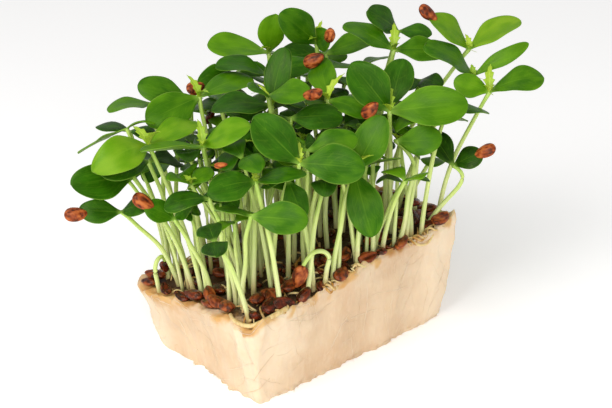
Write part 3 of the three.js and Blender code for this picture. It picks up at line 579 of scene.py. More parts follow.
def add_blade(skin, leaf, finish, tone, random, stations, around, toothed=False):
    """A blade as rings along its length. The middle surface arches along, cups across, bends sideways, twists and
    waves at its edges; each ring is an ellipse about it, with a groove along the upper face and a rib under it.
    A toothed blade is folded along its middle instead and curls back at its tip."""
    small = min(leaf["length"] / 26, 1)
    twist, bend, cup = random.normal(size=3) * [0.2, 0.04, 0.011]
    wave, phase, droop = random.uniform([0.2, 0, -0.5], [1.2, 1, 1.9]) * [small, 1, small]
    lobe = random.normal(size=2) * 0.05
    u = np.concatenate([[-1 / leaf["length"]], np.sin(np.linspace(0.02, 0.985, stations) * np.pi / 2) ** 1.1])
    u, a = np.meshgrid(u, turns(around), indexing="ij")
    v = np.cos(a)
    share = toothed_profile(u, leaf) if toothed else blade_profile(u, leaf)
    share = share * (1 + smooth(0.1, 0.4, u) * (lobe[0] * v + lobe[1] * np.sin(5 * u + 9 * phase) * np.sign(v)))
    half = leaf["width"] / 2 * share
    turn = twist * u
    side = np.cos(turn)[..., None] * leaf["side"] + np.sin(turn)[..., None] * leaf["up"]
    up = np.cos(turn)[..., None] * leaf["up"] - np.sin(turn)[..., None] * leaf["side"]
    lift = leaf["arch"] * 4 * u * (1 - u)
    if toothed:
        lift = lift + 0.4 * np.abs(v) * half - 0.3 * leaf["length"] * np.maximum(u, 0) ** 2.4
    else:
        lift = lift + (leaf["cup"] + cup) * (v * half) ** 2
        lift += wave * np.sin(2 * np.pi * (1.3 * u + phase + 0.2 * v)) * np.abs(v) ** 2 * smooth(0.1, 0.5, u)
        lift -= droop * smooth(0.45, 1.1, u) ** 2
    slide = v * half + bend * leaf["length"] * u * u
    body = leaf["thick"] / 2 * np.sin(a) * (0.5 + 0.5 * np.minimum(1, share * 1.5))
    body *= 1 + 0.9 * smooth(0.16, 0.0, u)
    rib = np.exp(-((v * half / 0.5) ** 2)) * smooth(0.03, 0.25, u) * (1 - smooth(0.5, 0.95, u))
    body -= np.where(np.sin(a) > 0, 0.16, 0.3) * rib
    rings = (
        leaf["base"] + leaf["along"] * (leaf["length"] * u)[..., None]
        + side * slide[..., None] + up * (lift + body)[..., None]
    )
    tip = rings[-1].mean(0) + leaf["along"] * leaf["length"] * 0.006
    skin.add(rings[0].mean(0), rings, tip, finish, np.stack([u, v, np.sin(a)], -1), tone)


def bezier(handles, t):
    """Points of a cubic Bezier curve, in the Bernstein form."""
    t = t[:, None]
    weights = ((1 - t) ** 3, 3 * t * (1 - t) ** 2, 3 * t * t * (1 - t), t ** 3)
    return sum(w * h for w, h in zip(weights, handles))


def add_seedling(skin, plant, random, tone=None, slim=1.0, fine=True):
    """A seedling's stem, tapered and slightly wavy, its seed leaves and its true leaves with a bud between them."""
    foot, low, high, crown = plant["stem"]
    t = np.linspace(0, 1, 22 if fine else 12)
    path = bezier((foot - STEM_DEPTH * UPRIGHT, low, high, crown), t)
    sway = random.normal(size=(2, 3)) * [0.4, 0.4, 0]
    waves = np.sin(2 * np.pi * t)[:, None] * sway[0] + np.sin(3.3 * np.pi * t)[:, None] * sway[1]
    path += np.sin(np.pi * t)[:, None] * waves
    radius = STEM_RADIUS * slim * (1.1 - 0.25 * t + 0.2 * smooth(0.92, 1, t))
    mood = float(random.uniform(0.05, 0.6)) if tone is None else tone
    tube(skin, path, radius, 10 if fine else 7, 0, (mood, random.uniform(), random.uniform()), squash=0.92)
    for leaf in plant["leaves"]:
        shade = (np.clip(mood + random.uniform(-0.14, 0.14), 0, 1), random.uniform(), random.uniform())
        add_blade(skin, leaf, 1, shade, random, *((22, 20) if fine else (11, 12)))
    if plant["buds"]:
        across = plant["buds"][0]["azimuth"]
        for turn, share in ((90, 0.26), (-90, 0.2)):
            young = {**plant["buds"][0], **blade_frame(crown, across + turn, 78, across + turn + 180, 30)}
            young.update(length=plant["buds"][0]["length"] * share, width=1.4)
            add_blade(skin, young, 2, (random.uniform(0.6, 1), 0, random.uniform()), random, 9, 8, toothed=True)
    for leaf in plant["buds"]:
        shade = (random.uniform(0.2, 0.8), random.uniform(), random.uniform())
        add_blade(skin, leaf, 2, shade, random, 26, 12, toothed=True)


def between(t, low, high, one, other):
    """The line that passes one at low and the other at high, at t."""
    return (one * (high - t) + other * (t - low)) / (high - low)


def sprout_line(points, count):
    """A centripetal Catmull-Rom curve: each span is a cubic whose knots are the square roots of the steps."""
    p = np.array(points, float)
    p = np.concatenate([[2 * p[0] - p[1]], p, [2 * p[-1] - p[-2]]])
    line = []
    for k in range(1, len(p) - 2):
        knots = np.concatenate([[0], np.cumsum(np.linalg.norm(np.diff(p[k - 1:k + 3], axis=0), axis=1) ** 0.5)])
        t = np.linspace(knots[1], knots[2], count, endpoint=k == len(p) - 3)[:, None]
        a, b, c = (between(t, knots[i], knots[i + 1], p[k - 1 + i], p[k + i]) for i in range(3))
        d, e = between(t, knots[0], knots[2], a, b), between(t, knots[1], knots[3], b, c)
        line.append(between(t, knots[1], knots[2], d, e))
    return np.concatenate(line)


# ---- The root mat ----
def outline_run(a):
    """Where the turn a is on the mat's outline, a rectangle with rounded corners: the point of the inner rectangle
    that it stands off from, and the direction that it stands off in. Even steps of a are even steps along it."""
    x, y = HALF - MAT_CORNER
    bend = np.pi / 2 * MAT_CORNER
    knots = np.cumsum([0, y, bend, 2 * x, bend, 2 * y, bend, 2 * x, bend, y])
    s = (np.asarray(a, float) % (2 * np.pi)) / (2 * np.pi) * knots[-1]
    inner_x = np.interp(s, knots, [x, x, x, -x, -x, -x, -x, x, x, x])
    inner_y = np.interp(s, knots, [0, y, y, y, y, -y, -y, -y, -y, 0])
    return inner_x, inner_y, np.interp(s, knots, np.repeat([0, 1, 2, 3, 4], 2) * np.pi / 2)


def outline(a):
    """The mat's outline at the turn a, as shares of its half-lengths."""
    x, y, turn = outline_run(a)
    return np.stack([x + MAT_CORNER * np.cos(turn), y + MAT_CORNER * np.sin(turn)], -1) / HALF


def outward_of(a):
    """The level direction out of the outline."""
    turn = outline_run(a)[2]
    return np.stack([np.cos(turn), np.sin(turn), 0 * turn], -1)


def hollow(points, x, y, reach):
    """1 at a spot of the top, fading to 0 round it."""
    return np.exp(-((points[..., 0] - x) ** 2 + (points[..., 1] - y) ** 2) / reach ** 2)


def ragged(points):
    """How far the felted rim stands up or falls, in millimetres: tongues of root, and two worn spots."""
    rise = 1.9 * np.maximum(0, swell(points, 15, 11)) + 0.9 * np.maximum(0, swell(points, 5.5, 12)) - 0.5
    return rise + 0.25 * swell(points, 2.1, 15) - 2.6 * hollow(points, -63, 27, 11) - 1.2 * hollow(points, -62, -41, 7)


def mat_side(a, share):
    """The mat's side at angle a and a share of its height: the drafted outline, pushed out by soft lumps, by upright
    folds that are strongest on the short left side, and by a fine grain. The rim rounds in and is ragged."""
    inset = MAT_INSET * (1 - share)
    xy = outline(a) * (HALF - inset[..., None])
    z = share * top_height(xy[..., 0], xy[..., 1])
    points = np.concatenate([xy, z[..., None]], -1)
    out = outward_of(a)
    left = smooth(-40, -60, points[..., 0])
    level = points * [1, 1, 0.14]
    folds = 1 - np.abs(swell(level, 19, 5)) ** 0.8
    push = 0.9 * swell(points, 34, 1) + 0.3 * swell(points, 11, 2) + 0.1 * swell(points, 3.6, 3)
    push += (folds - 0.5) * (0.4 + 1.9 * left) * smooth(0.02, 0.4, share)
    push += 0.06 * swell(points, 1.7, 4, 14) + 1.6 * hollow(points, -64, 42, 9) * smooth(0.6, 1, share)
    frayed = smooth(0.08, 0, share) * (0.1 + 0.8 * swell(points, 5, 6))
    rounded = 1.1 * smooth(0.93, 1.0, share) ** 2
    points = points + out * (push + 0.5 - frayed - rounded)[..., None]
    points[..., 2] += ragged(points) * smooth(0.85, 1, share)
    return points, out


def mat_top(a, share):
    """The matted top at a share of the outline: the ragged rim, then a low, lumpy floor inside it."""
    xy = outline(a) * (HALF * share[..., None])
    points = np.concatenate([xy, top_height(xy[..., 0], xy[..., 1])[..., None]], -1)
    lip = smooth(0.93, 0.985, share) * (ragged(points) + 0.2)
    floor = smooth(0.975, 0.92, share) * (-1.3 + 0.6 * swell(points, 6, 13) + 0.4 * swell(points, 2.6, 14))
    floor -= smooth(0.98, 0.94, share) * (2.0 * hollow(points, -57, -38, 8) + 1.0 * hollow(points, -58, 28, 10))
    points[..., 2] += lip + floor - 0.1
    return points


def add_mat(skin):
    """The closed mat: a flat foot, its side, a lip that turns in, and its top. `tone` keeps how stained it is."""
    a = turns(420)
    side_share = np.concatenate([
        [0.0, 0.004, 0.012, 0.03, 0.05], np.linspace(0.075, 0.9, 46), np.linspace(0.912, 0.995, 12),
    ])
    sides = mat_side(*np.meshgrid(a, side_share))[0]
    foot = sides[:1] * [0.985, 0.98, 0]
    top_share = np.concatenate([np.linspace(0.982, 0.9, 18), np.linspace(0.885, 0.04, 34)])
    tops = mat_top(*np.meshgrid(a, top_share))
    run = sides[-1] - mat_top(a, np.full(len(a), 0.985))
    tops[:4] += run * np.array([0.62, 0.34, 0.14, 0.04])[:, None, None]
    rings = np.concatenate([foot, sides, tops])
    height = np.concatenate([[0], side_share, np.ones(len(top_share))])
    inward = np.concatenate([np.zeros(1 + len(side_share)), 1 - top_share])
    height, inward = height[:, None] + 0 * rings[..., 0], inward[:, None] + 0 * rings[..., 0]
    patchy = 0.3 + 0.7 * smooth(-0.4, 0.8, swell(rings, 15, 21))
    stain = smooth(0.88, 1.0, height + 0.05 * swell(rings, 9, 22)) * patchy
    stain += smooth(0.62, 0.98, height) * 0.8 * hollow(rings, -64, 27, 15)
    stain += smooth(0.9, 0.98, height) * 0.9 * hollow(rings, -62, -42, 10)
    tone = np.stack([np.clip(stain, 0, 1), patchy, 0 * stain], -1).reshape(-1, 3)
    blade = np.stack([height, inward, (a / (2 * np.pi)) + 0 * height], -1)
    centre = [0, 0, top_height(0.0, 0.0) - 1.4]
    skin.add([0, 0, 0], rings, centre, 0, blade, np.concatenate([tone[:1], tone, tone[-1:]]))


def add_strands(skin, random, count):
    """Roots lying on the mat's sides: slow random walks over the side's two parameters, half sunk in the surface."""
    angles = turns(STEPS_ROUND)
    for _ in range(count):
        steps = 20
        at = random.uniform(0, STEPS_ROUND)
        share = random.uniform(0.06, 0.94)
        heading = random.normal() * 0.75 + np.pi / 2 * random.choice([-1, 1])
        length = random.uniform(10, 34)
        bend = np.cumsum(random.normal(size=steps) * 0.13) + heading
        level = np.cumsum(np.cos(bend)) * length / steps
        rise = np.cumsum(np.sin(bend)) * length / steps
        step = (at + level * STEPS_ROUND / LENGTH_ROUND) % STEPS_ROUND
        a = np.interp(step, np.arange(STEPS_ROUND), angles)
        s = np.clip(share + rise / 45, 0.02, 0.975)
        points, out = mat_side(a, s)
        thick = random.uniform(0.08, 0.2) * np.sin(np.pi * np.linspace(0.06, 0.94, steps)) ** 0.5
        if np.linalg.norm(np.diff(points, axis=0), axis=1).max() < 5:
            path = points + out * (thick * 0.05)[:, None]
            tube(skin, path, thick, 5, 0, (random.uniform(), 0, 0), normal=out[steps // 2])


def add_hairs(skin, random, count):
    """Fine root hairs that stand out of the frayed lower edge, each one thinning to a point."""
    angles = turns(STEPS_ROUND)
    for _ in range(count):
        a = np.full(8, angles[random.integers(0, STEPS_ROUND)])
        share = random.choice([0.012, 0.02, 0.04, 0.3, 0.6], p=[0.35, 0.3, 0.2, 0.1, 0.05])
        points, out = mat_side(a, np.full(8, share))
        t = np.linspace(0, 1, 8)
        reach = random.uniform(0.8, 3.4)
        drift = random.normal(size=3) * 0.5
        path = points + out * (reach * t - 0.3)[:, None] + np.outer(t ** 2, drift) * reach
        path[:, 2] = np.maximum(path[:, 2], 0.15)
        tube(skin, path, random.uniform(0.07, 0.15) * (1.1 - t), 4, 0, (random.uniform(), 1, 0))


def add_loops(skin, random, count):
    """Roots that loop over the matted top near its edge: arcs that rise out of the mat and dive back in."""
    for _ in range(count):
        edge = outline(random.uniform(0, 2 * np.pi))
        share = random.uniform(0.72, 0.965) if random.uniform() < 0.75 else random.uniform(0.1, 0.8)
        start = edge * (HALF * share)
        way = random.uniform(0, 2 * np.pi)
        reach = random.uniform(5, 15)
        t = np.linspace(0, 1, 18)
        bend = way + random.normal() * 1.2 * (t - 0.5)
        xy = start + np.cumsum(np.stack([np.cos(bend), np.sin(bend)], -1), axis=0) * reach / 18
        xy = np.clip(xy, 2 - HALF, HALF - 2)
        z = top_height(xy[:, 0], xy[:, 1]) - 1.3 + np.sin(np.pi * t) ** 0.8 * random.uniform(1.2, 3.2)
        radius = random.uniform(0.25, 0.65) * (1.15 - 0.5 * t)
        tube(skin, np.column_stack([xy, z]), radius, 7, 1, (random.uniform(), 0, 0))


# A root over the rim: share of its run, y, height above the top, and share of how far it sags.
RIM_ROOT = [
    (0, -38.5, -1.5, 0), (0.12, -42, 0.9, 0), (0.3, -43.8, 0.3, 0.3), (0.55, -43.9, 0, 1), (0.8, -43.5, 0, 0.3),
    (1, -42, 0.8, 0), (1.1, -38.5, -1.5, 0),
]


def add_rim_roots(skin, random, count):
    """Amber roots that come over the long rim, sag outside it and turn back in, a pale loop near the right end, and a
    thick one that runs round the front corner's rim."""
    corner = [(-43, -43), (-50, -43.4), (-57, -43), (-61.6, -41), (-63, -36), (-62.6, -29), (-61, -25)]
    loops = [
        ([(x, y, float(top_height(x, y)) + 0.2) for x, y in corner], 1.25, 0.85),
        ([(36.5, -31, 51.2), (34, -38, 52), (34, -42, 51.2), (37, -44.6, 48.6), (42, -45, 48.2), (46.5, -43.8, 50.8),
          (51, -41, 53.4), (56, -38, 53)], 0.7, 1.0),
    ]
    for _ in range(count):
        x, drop, run = random.uniform(-52, 50), random.uniform(0.4, 2.2), random.uniform(4, 9)
        top = float(top_height(x, -43.0))
        path = [(x + run * share, y, top + above - drop * sag) for share, y, above, sag in RIM_ROOT]
        loops.append((path, random.uniform(0.35, 0.75), random.uniform(0.1, 1)))
    for path, radius, tone in loops:
        line = sprout_line(path, 6)
        tube(skin, line, radius * (1 - 0.3 * np.linspace(0, 1, len(line))), 8, 1, (tone, 0, 0))


# ---- Seed hulls ----
def add_hull(skin, centre, way, up, roll, size, wet, seed, count=26, gape=0.0):
    """A blunt drop with a wrinkled skin: rings of width sqrt(1 - s^2)(1 - s/4), in which folded swells sink long
    creases, and a sharp rim where the two halves meet. gape sinks the flat side, as a shell that has split."""
    way = unit(np.asarray(way, float))
    flat = unit(up - way * (way @ up))
    angle = math.radians(roll)
    flat = flat * math.cos(angle) + np.cross(way, flat) * math.sin(angle)
    side = np.cross(flat, way)
    s = np.sin(np.linspace(-0.985, 0.985, count) * np.pi / 2)
    s, a = np.meshgrid(s, turns(count), indexing="ij")
    wide = np.sqrt(1 - s * s) * (1 - 0.25 * s)
    length, width, thick = HULL_LENGTH * size, HULL_WIDTH * size, HULL_THICK * size
    local = np.stack([s * length / 2, np.cos(a) * wide * width / 2, np.sin(a) * wide * thick / 2], -1)
    crease = 1 - np.abs(swell(local * [0.3, 1, 1], 3.0, seed)) ** 0.7
    crease = np.clip(1 - 0.75 * crease - 0.35 * np.abs(swell(local * [0.5, 1, 1], 1.6, seed + 3)), 0, 1)
    grain = swell(local, 1.1, seed + 1)
    rim = np.abs(np.cos(a)) ** 14
    shrink = 1 - (0.13 * (1 - crease) + 0.03 * grain) * np.sqrt(1 - s * s) * (1 - rim) + 0.05 * rim
    local[..., 1:] *= shrink[..., None]
    dent = gape * np.exp(-((np.cos(a) * 1.6) ** 2)) * (np.sin(a) > 0) * (1 - s * s)
    local[..., 2] -= dent * thick * 0.8
    local[..., 2] += 0.3 * swell(local * 0.35 + seed, 9, seed + 2) + 0.25 * (s * s - 0.4)
    rings = np.asarray(centre, float) + local @ np.stack([way, side, flat])
    ends = [rings[0].mean(0) - way * 0.05, rings[-1].mean(0) + way * 0.05]
    # The crease depth also goes to the finish, which paints shade into the creases and a highlight onto the ridges.
    skin.add(ends[0], rings, ends[1], 0, np.stack([crease, grain * 0.5 + 0.5, s], -1), (wet, 0, 0))


# ---- Finishes ----
def tint(red, green, blue):
    """A screen colour, 0 to 255, as linear light."""
    share = np.array([red, green, blue]) / 255
    return (*np.where(share <= 0.04045, share / 12.92, ((share + 0.055) / 1.055) ** 2.4), 1.0)


class Finish:
    """A node material under construction. Each method adds a node and gives back its output socket."""

    def __init__(self, name, subsurface=0.0, radius=(1, 1, 1), scale=0.001, specular=0.5, coat=0.0, sheen=(1, 1, 1)):
        self.material = bpy.data.materials.new(name)
        self.material.use_nodes = True
        self.tree = self.material.node_tree
        self.shader = self.tree.nodes["Principled BSDF"]
        for socket, value in (
            ("Subsurface Weight", subsurface), ("Subsurface Radius", radius), ("Subsurface Scale", scale),
            ("Specular IOR Level", specular), ("Coat Weight", coat), ("Specular Tint", (*sheen, 1.0)),
        ):
            self.shader.inputs[socket].default_value = value

    def put(self, socket, value):
        """Links a socket to another one, or gives it a value."""
        if isinstance(value, bpy.types.NodeSocket):
            self.tree.links.new(value, socket)
        elif value is not None:
            socket.default_value = value

    def attribute(self, name):
        """The three values of an attribute of the mesh."""
        node = self.tree.nodes.new("ShaderNodeAttribute")
        node.attribute_name = name
        split = self.tree.nodes.new("ShaderNodeSeparateXYZ")
        self.put(split.inputs[0], node.outputs["Vector"])
        return split.outputs

    def place(self):
        """The point on the object."""
        return self.tree.nodes.new("ShaderNodeTexCoord").outputs["Object"]

    def math(self, operation, one, two=None, three=None):
        node = self.tree.nodes.new("ShaderNodeMath")
        node.operation = operation
        for socket, value in zip(node.inputs, (one, two, three)):
            self.put(socket, value)
        return node.outputs[0]

    def times(self, one, two):
        return self.math("MULTIPLY", one, two)

    def plus(self, one, two):
        return self.math("ADD", one, two)

    def range(self, value, low, high, to_low=0.0, to_high=1.0):
        node = self.tree.nodes.new("ShaderNodeMapRange")
        node.interpolation_type = "SMOOTHSTEP"
        for socket, given in zip(node.inputs, (value, low, high, to_low, to_high)):
            self.put(socket, given)
        return node.outputs[0]

    def spread(self, noise, reach):
        """A noise's middle part, as a value from -reach to reach."""
        return self.range(noise, 0.3, 0.7, -reach, reach)

    def noise(self, where, scale, detail=3.0, roughness=0.55):
        node = self.tree.nodes.new("ShaderNodeTexNoise")
        self.put(node.inputs["Vector"], where)
        for socket, value in (("Scale", scale), ("Detail", detail), ("Roughness", roughness)):
            node.inputs[socket].default_value = value
        return node.outputs[0]

    def joined(self, x, y, z):
        node = self.tree.nodes.new("ShaderNodeCombineXYZ")
        for socket, value in zip(node.inputs, (x, y, z)):
            self.put(socket, value)
        return node.outputs[0]

    def mix(self, share, one, two):
        node = self.tree.nodes.new("ShaderNodeMix")
        node.data_type = "RGBA"
        self.put(node.inputs["Factor"], share)
        self.put(node.inputs[6], one)
        self.put(node.inputs[7], two)
        return node.outputs[2]

    def over(self, colour, tinge, most, value, low, high):
        """A colour with a share of another over it: none where value is at low, most of it at high."""
        return self.mix(self.range(value, low, high, 0.0, most), colour, tinge)

    def ramp(self, value, *stops):
        node = self.tree.nodes.new("ShaderNodeValToRGB")
        self.put(node.inputs[0], value)
        elements = node.color_ramp.elements
        while len(elements) < len(stops):
            elements.new(0.5)
        for element, (at, colour) in zip(elements, stops):
            element.position, element.color = at, colour
        return node.outputs[0]

    def finish(self, colour, roughness, height=None, depth=0.0002, strength=0.5):
        self.put(self.shader.inputs["Base Color"], colour)
        self.put(self.shader.inputs["Roughness"], roughness)
        if height is not None:
            bump = self.tree.nodes.new("ShaderNodeBump")
            bump.inputs["Strength"].default_value = strength
            bump.inputs["Distance"].default_value = depth
            self.put(bump.inputs["Height"], height)
            self.put(self.shader.inputs["Normal"], bump.outputs[0])
        return self.material


def seed_leaf_finish():
    """Glossy green: darker or brighter by the leaf's own tone, with a pale midrib, fine veins and a pale rim."""
    f = Finish("seed_leaf", 0.06, (0.5, 1.0, 0.2), 0.0012, specular=0.22, sheen=(0.85, 1, 0.5))
    u, v, face = f.attribute("blade")
    mood, _, seed = f.attribute("tone")
    away = f.math("ABSOLUTE", v)
    far = f.times(seed, 40.0)
    slant = f.math("MULTIPLY_ADD", away, -2.2, f.times(u, 6.5))
    veins = f.noise(f.joined(slant, f.times(v, 1.2), far), 2.6, 3.0)
    streaks = f.noise(f.joined(f.times(u, 1.6), f.times(v, 12.0), far), 1.5, 3.0)
    broad = f.noise(f.joined(f.times(u, 2.2), v, far), 1.3, 1.0)
    lively = f.plus(mood, f.spread(broad, 0.08))
    colour = f.ramp(
        lively, (0.0, tint(17, 52, 2)), (0.3, tint(44, 96, 3)), (0.62, tint(90, 140, 8)), (1.0, tint(146, 180, 40)))
    light = f.mix(0.45, colour, tint(130, 174, 46))
    colour = f.over(colour, light, 0.22, streaks, 0.42, 0.75)
    colour = f.over(colour, light, 0.18, veins, 0.55, 0.68)
    midrib = f.times(f.range(away, 0.0, 0.055, 1.0, 0.0), f.range(u, 0.1, 0.9, 0.7, 0.05))
    colour = f.mix(midrib, colour, light)
    colour = f.over(colour, tint(140, 176, 60), 0.5, away, 0.93, 0.995)
    colour = f.over(colour, tint(146, 184, 72), 0.8, u, 0.16, 0.0)
    colour = f.over(colour, tint(122, 152, 66), 0.5, face, -0.02, -0.3)
    rough = f.range(broad, 0.3, 0.7, 0.3, 0.45)
    return f.finish(colour, rough, f.plus(veins, streaks), 0.0003, 0.3)


def true_leaf_finish():
    """Young yellow-green, with a pale fold."""
    f = Finish("true_leaf", subsurface=0.12, radius=(0.7, 1.0, 0.2), scale=0.001, specular=0.35)
    u, v, _ = f.attribute("blade")
    mood, _, seed = f.attribute("tone")
    grain = f.noise(f.joined(f.times(u, 6.0), f.times(v, 4.0), f.times(seed, 30.0)), 2.0)
    lively = f.plus(mood, f.spread(grain, 0.2))
    colour = f.ramp(lively, (0.0, tint(124, 166, 24)), (1.0, tint(190, 214, 60)))
    colour = f.mix(f.range(f.math("ABSOLUTE", v), 0.0, 0.16, 0.5, 0.0), colour, tint(198, 216, 100))
    return f.finish(colour, 0.48, grain, 0.0002, 0.4)


def stem_finish():
    """Juicy pale green, cream at the foot and greener at the crown, with faint streaks along it."""
    f = Finish("stem", subsurface=0.2, radius=(1.0, 1.0, 0.4), scale=0.0015, specular=0.5)
    u, v, _ = f.attribute("blade")
    _, _, seed = f.attribute("tone")
    far = f.times(seed, 50.0)
    streaks = f.noise(f.joined(f.times(u, 3.0), f.times(v, 9.0), far), 1.5)
    patches = f.noise(f.joined(f.times(u, 4.0), 0.0, far), 1.2)
    place_on = f.plus(u, f.spread(patches, 0.1))
    colour = f.ramp(
        place_on, (0.0, tint(220, 196, 138)), (0.1, tint(228, 228, 166)), (0.24, tint(228, 238, 160)),
        (0.65, tint(212, 230, 128)), (1.0, tint(170, 204, 82)))
    colour = f.over(colour, tint(152, 184, 82), 0.4, streaks, 0.35, 0.7)
    return f.finish(colour, f.range(streaks, 0.3, 0.7, 0.3, 0.42), streaks, 0.0002, 0.3)


def root_finish():
    """Waxy matted root: cream with peach clouds and thread-like grain, with a painted highlight that pales it towards
    the upright corners, where |x| times |y| is largest, stained amber at the rim, and painted shade that darkens the
    top inside."""
    f = Finish("matted_root", subsurface=0.28, radius=(1.0, 0.6, 0.35), scale=0.006, specular=0.35)
    _, inward, _ = f.attribute("blade")
    stain, _, _ = f.attribute("tone")
    where = f.place()
    clouds = f.noise(where, 34.0, 3.0)
    stretch = f.tree.nodes.new("ShaderNodeMapping")
    stretch.inputs["Scale"].default_value = (1.0, 1.0, 0.2)
    f.put(stretch.inputs["Vector"], where)
    threads = f.noise(stretch.outputs[0], 520.0, 4.0, 0.7)
    drips = f.noise(stretch.outputs[0], 95.0, 3.0)
    specks = f.noise(where, 460.0, 2.0)
    colour = f.ramp(clouds, (0.3, tint(210, 176, 139)), (0.5, tint(221, 191, 155)), (0.7, tint(230, 205, 172)))
    colour = f.over(colour, tint(214, 178, 140), 0.35, drips, 0.45, 0.7)
    colour = f.over(colour, tint(240, 220, 190), 0.3, threads, 0.45, 0.75)
    colour = f.over(colour, tint(176, 130, 92), 0.3, specks, 0.7, 0.8)
    # Painted highlight: the mat is painted paler towards its upright corners, where |x| times |y| is largest.
    sides = f.tree.nodes.new("ShaderNodeSeparateXYZ")
    f.put(sides.inputs[0], where)
    corner = f.times(f.math("ABSOLUTE", sides.outputs[0]), f.math("ABSOLUTE", sides.outputs[1]))
    colour = f.over(colour, tint(255, 236, 206), 0.48, corner, 0.0011, 0.0022)
    rust = f.range(f.plus(stain, f.spread(f.noise(where, 160.0, 3.0), 0.18)), 0.05, 1.0, 0.0, 0.9)
    amber = f.mix(f.range(clouds, 0.35, 0.65), tint(190, 132, 60), tint(218, 170, 98))
    colour = f.mix(rust, colour, amber)
    # Painted shade: the matted top inside the rim is darkened nearly to black-brown, as the shade under the seedlings.
    painted_shade_inward = f.plus(inward, f.spread(f.noise(where, 150.0), 0.04))
    colour = f.over(colour, tint(52, 28, 14), 0.95, painted_shade_inward, 0.035, 0.12)
    relief = f.plus(threads, f.times(clouds, 0.6))
    return f.finish(colour, f.range(clouds, 0.3, 0.7, 0.42, 0.58), relief, 0.0004, 0.3)


def strand_finish(name, dark, light):
    """A fine root: darker or lighter by its own tone, with a little grain."""
    f = Finish(name, subsurface=0.25, radius=(1.0, 0.7, 0.4), scale=0.002, specular=0.4)
    mood, _, _ = f.attribute("tone")
    grain = f.noise(f.place(), 500.0)
    colour = f.ramp(f.plus(mood, f.spread(grain, 0.3)), (0.0, dark), (1.0, light))
    return f.finish(colour, 0.45, grain, 0.0001, 0.3)


def hull_finish():
    """Dry or wet seed hull: red-brown, with a painted highlight on its ridges and painted shade nearly black in its
    creases.
    """
    f = Finish("seed_hull", specular=0.45, coat=0.06, sheen=(1, 0.75, 0.55))
    crease, _, _ = f.attribute("blade")
    wet, _, _ = f.attribute("tone")
    grain = f.noise(f.place(), 900.0, 4.0, 0.65)
    patches = f.noise(f.place(), 190.0, 2.0)
    # Painted shade and highlight: the creases are painted nearly black and the ridges lighter; the patches add a real
    # mottle.
    crease_shade_and_mottle = f.plus(crease, f.spread(patches, 0.22))
    dry = f.ramp(crease_shade_and_mottle, (0.1, tint(70, 20, 4)), (0.5, tint(150, 62, 18)), (0.95, tint(200, 110, 50)))
    dark = f.ramp(crease_shade_and_mottle, (0.1, tint(24, 5, 2)), (0.6, tint(78, 18, 8)), (1.0, tint(124, 42, 20)))
    colour = f.mix(wet, dry, dark)
    colour = f.over(colour, tint(186, 116, 74), 0.25, grain, 0.55, 0.8)
    return f.finish(colour, f.range(wet, 0.0, 1.0, 0.5, 0.22), f.plus(grain, crease), 0.0004, 0.6)


seed_leaf, true_leaf, stem, matted_root = seed_leaf_finish(), true_leaf_finish(), stem_finish(), root_finish()
root_strand = strand_finish("root_strand", tint(222, 190, 150), tint(238, 218, 188))
root_loop = strand_finish("root_loop", tint(184, 128, 50), tint(232, 206, 146))
seed_hull = hull_finish()
GREEN = (stem, seed_leaf, true_leaf)
SLOTS = ("leaf_mid_green", "leaf_dark_green", "leaf_bright_green", "leaf_green")

# ---- Seedlings, tuft by tuft ----
# How bright each of the outer seedlings is, 0 dark to 1 yellow-green.
BRIGHTNESS = [
    0.58, 0.66, 0.12, 0.16, 0.36, 0.48, 0.38, 0.36, 0.18, 0.48, 0.26, 0.2, 0.16, 0.36, 0.42, 0.34, 0.3, 0.38,
    0.32, 0.38, 0.5, 0.4, 0.34, 0.18, 0.42, 0.66, 0.44, 0.18, 0.32, 0.24, 0.4, 0.42, 0.14, 0.14, 0.34, 0.28,
]
random = np.random.default_rng(LOOKS_SEED)

sx, sy = sprout_place["at"]
sprout = sprout_line([(sx, sy, top_height(sx, sy) - STEM_DEPTH), *SPROUT_PATH], 8)
for tuft in range(ROWS * COLUMNS):
    skin = Skin()
    for i, plant in enumerate(placed):
        if plant["tuft"] == tuft:
            add_seedling(skin, plant, random, BRIGHTNESS[i])
    for plant in filled:
        if plant["tuft"] == tuft:
            add_seedling(skin, plant, random)
    if tuft == sprout_place["tuft"]:
        tube(skin, sprout, np.linspace(1.2, 0.9, len(sprout)), 10, 0, (0.9, 0.4, 0))
    skin.piece(f"seedlings_{tuft + 1:02d}", GREEN, SLOTS[tuft % 4], [f"tuft_{tuft + 1:02d}"])

# ---- The seedlings between them ----
fallen = [hull for heap in LYING_HULLS for hull in heap]
lying = np.array([(x, y, top_height(x, y) + 2.5) for x, y, _, _ in fallen])
lines = [spot + np.outer(np.linspace(-4, 4, 5), direction(hull[2], 0)) for spot, hull in zip(lying, fallen)]
narrow_leaves = [(141, -26, 26, 24, 1.2, 0.5, 51), (-50, 14, 14, 24, 2, 0.8, 51)]
narrow = seedling({"tuft": -1, "at": (-50.5, 35)}, (-61, 45, 112), narrow_leaves, 0)
skin = Skin()
add_seedling(skin, narrow, random, 0.55, 0.85)
hook = sprout_line(CORNER_SPROUT, 7)
tube(skin, hook, np.linspace(1.15, 0.9, len(hook)), 10, 0, (0.35, 0.7, 0))
skin.piece("left_seedlings", GREEN, "leaf_green")
standing = placed + filled + [narrow]
stand = Stand(standing, placed, np.concatenate([sprout, *lines]))
outer = [plant for plant in standing if plant["foot"][0] < 30 and plant["foot"][1] < 5 or plant["foot"][0] < -30]
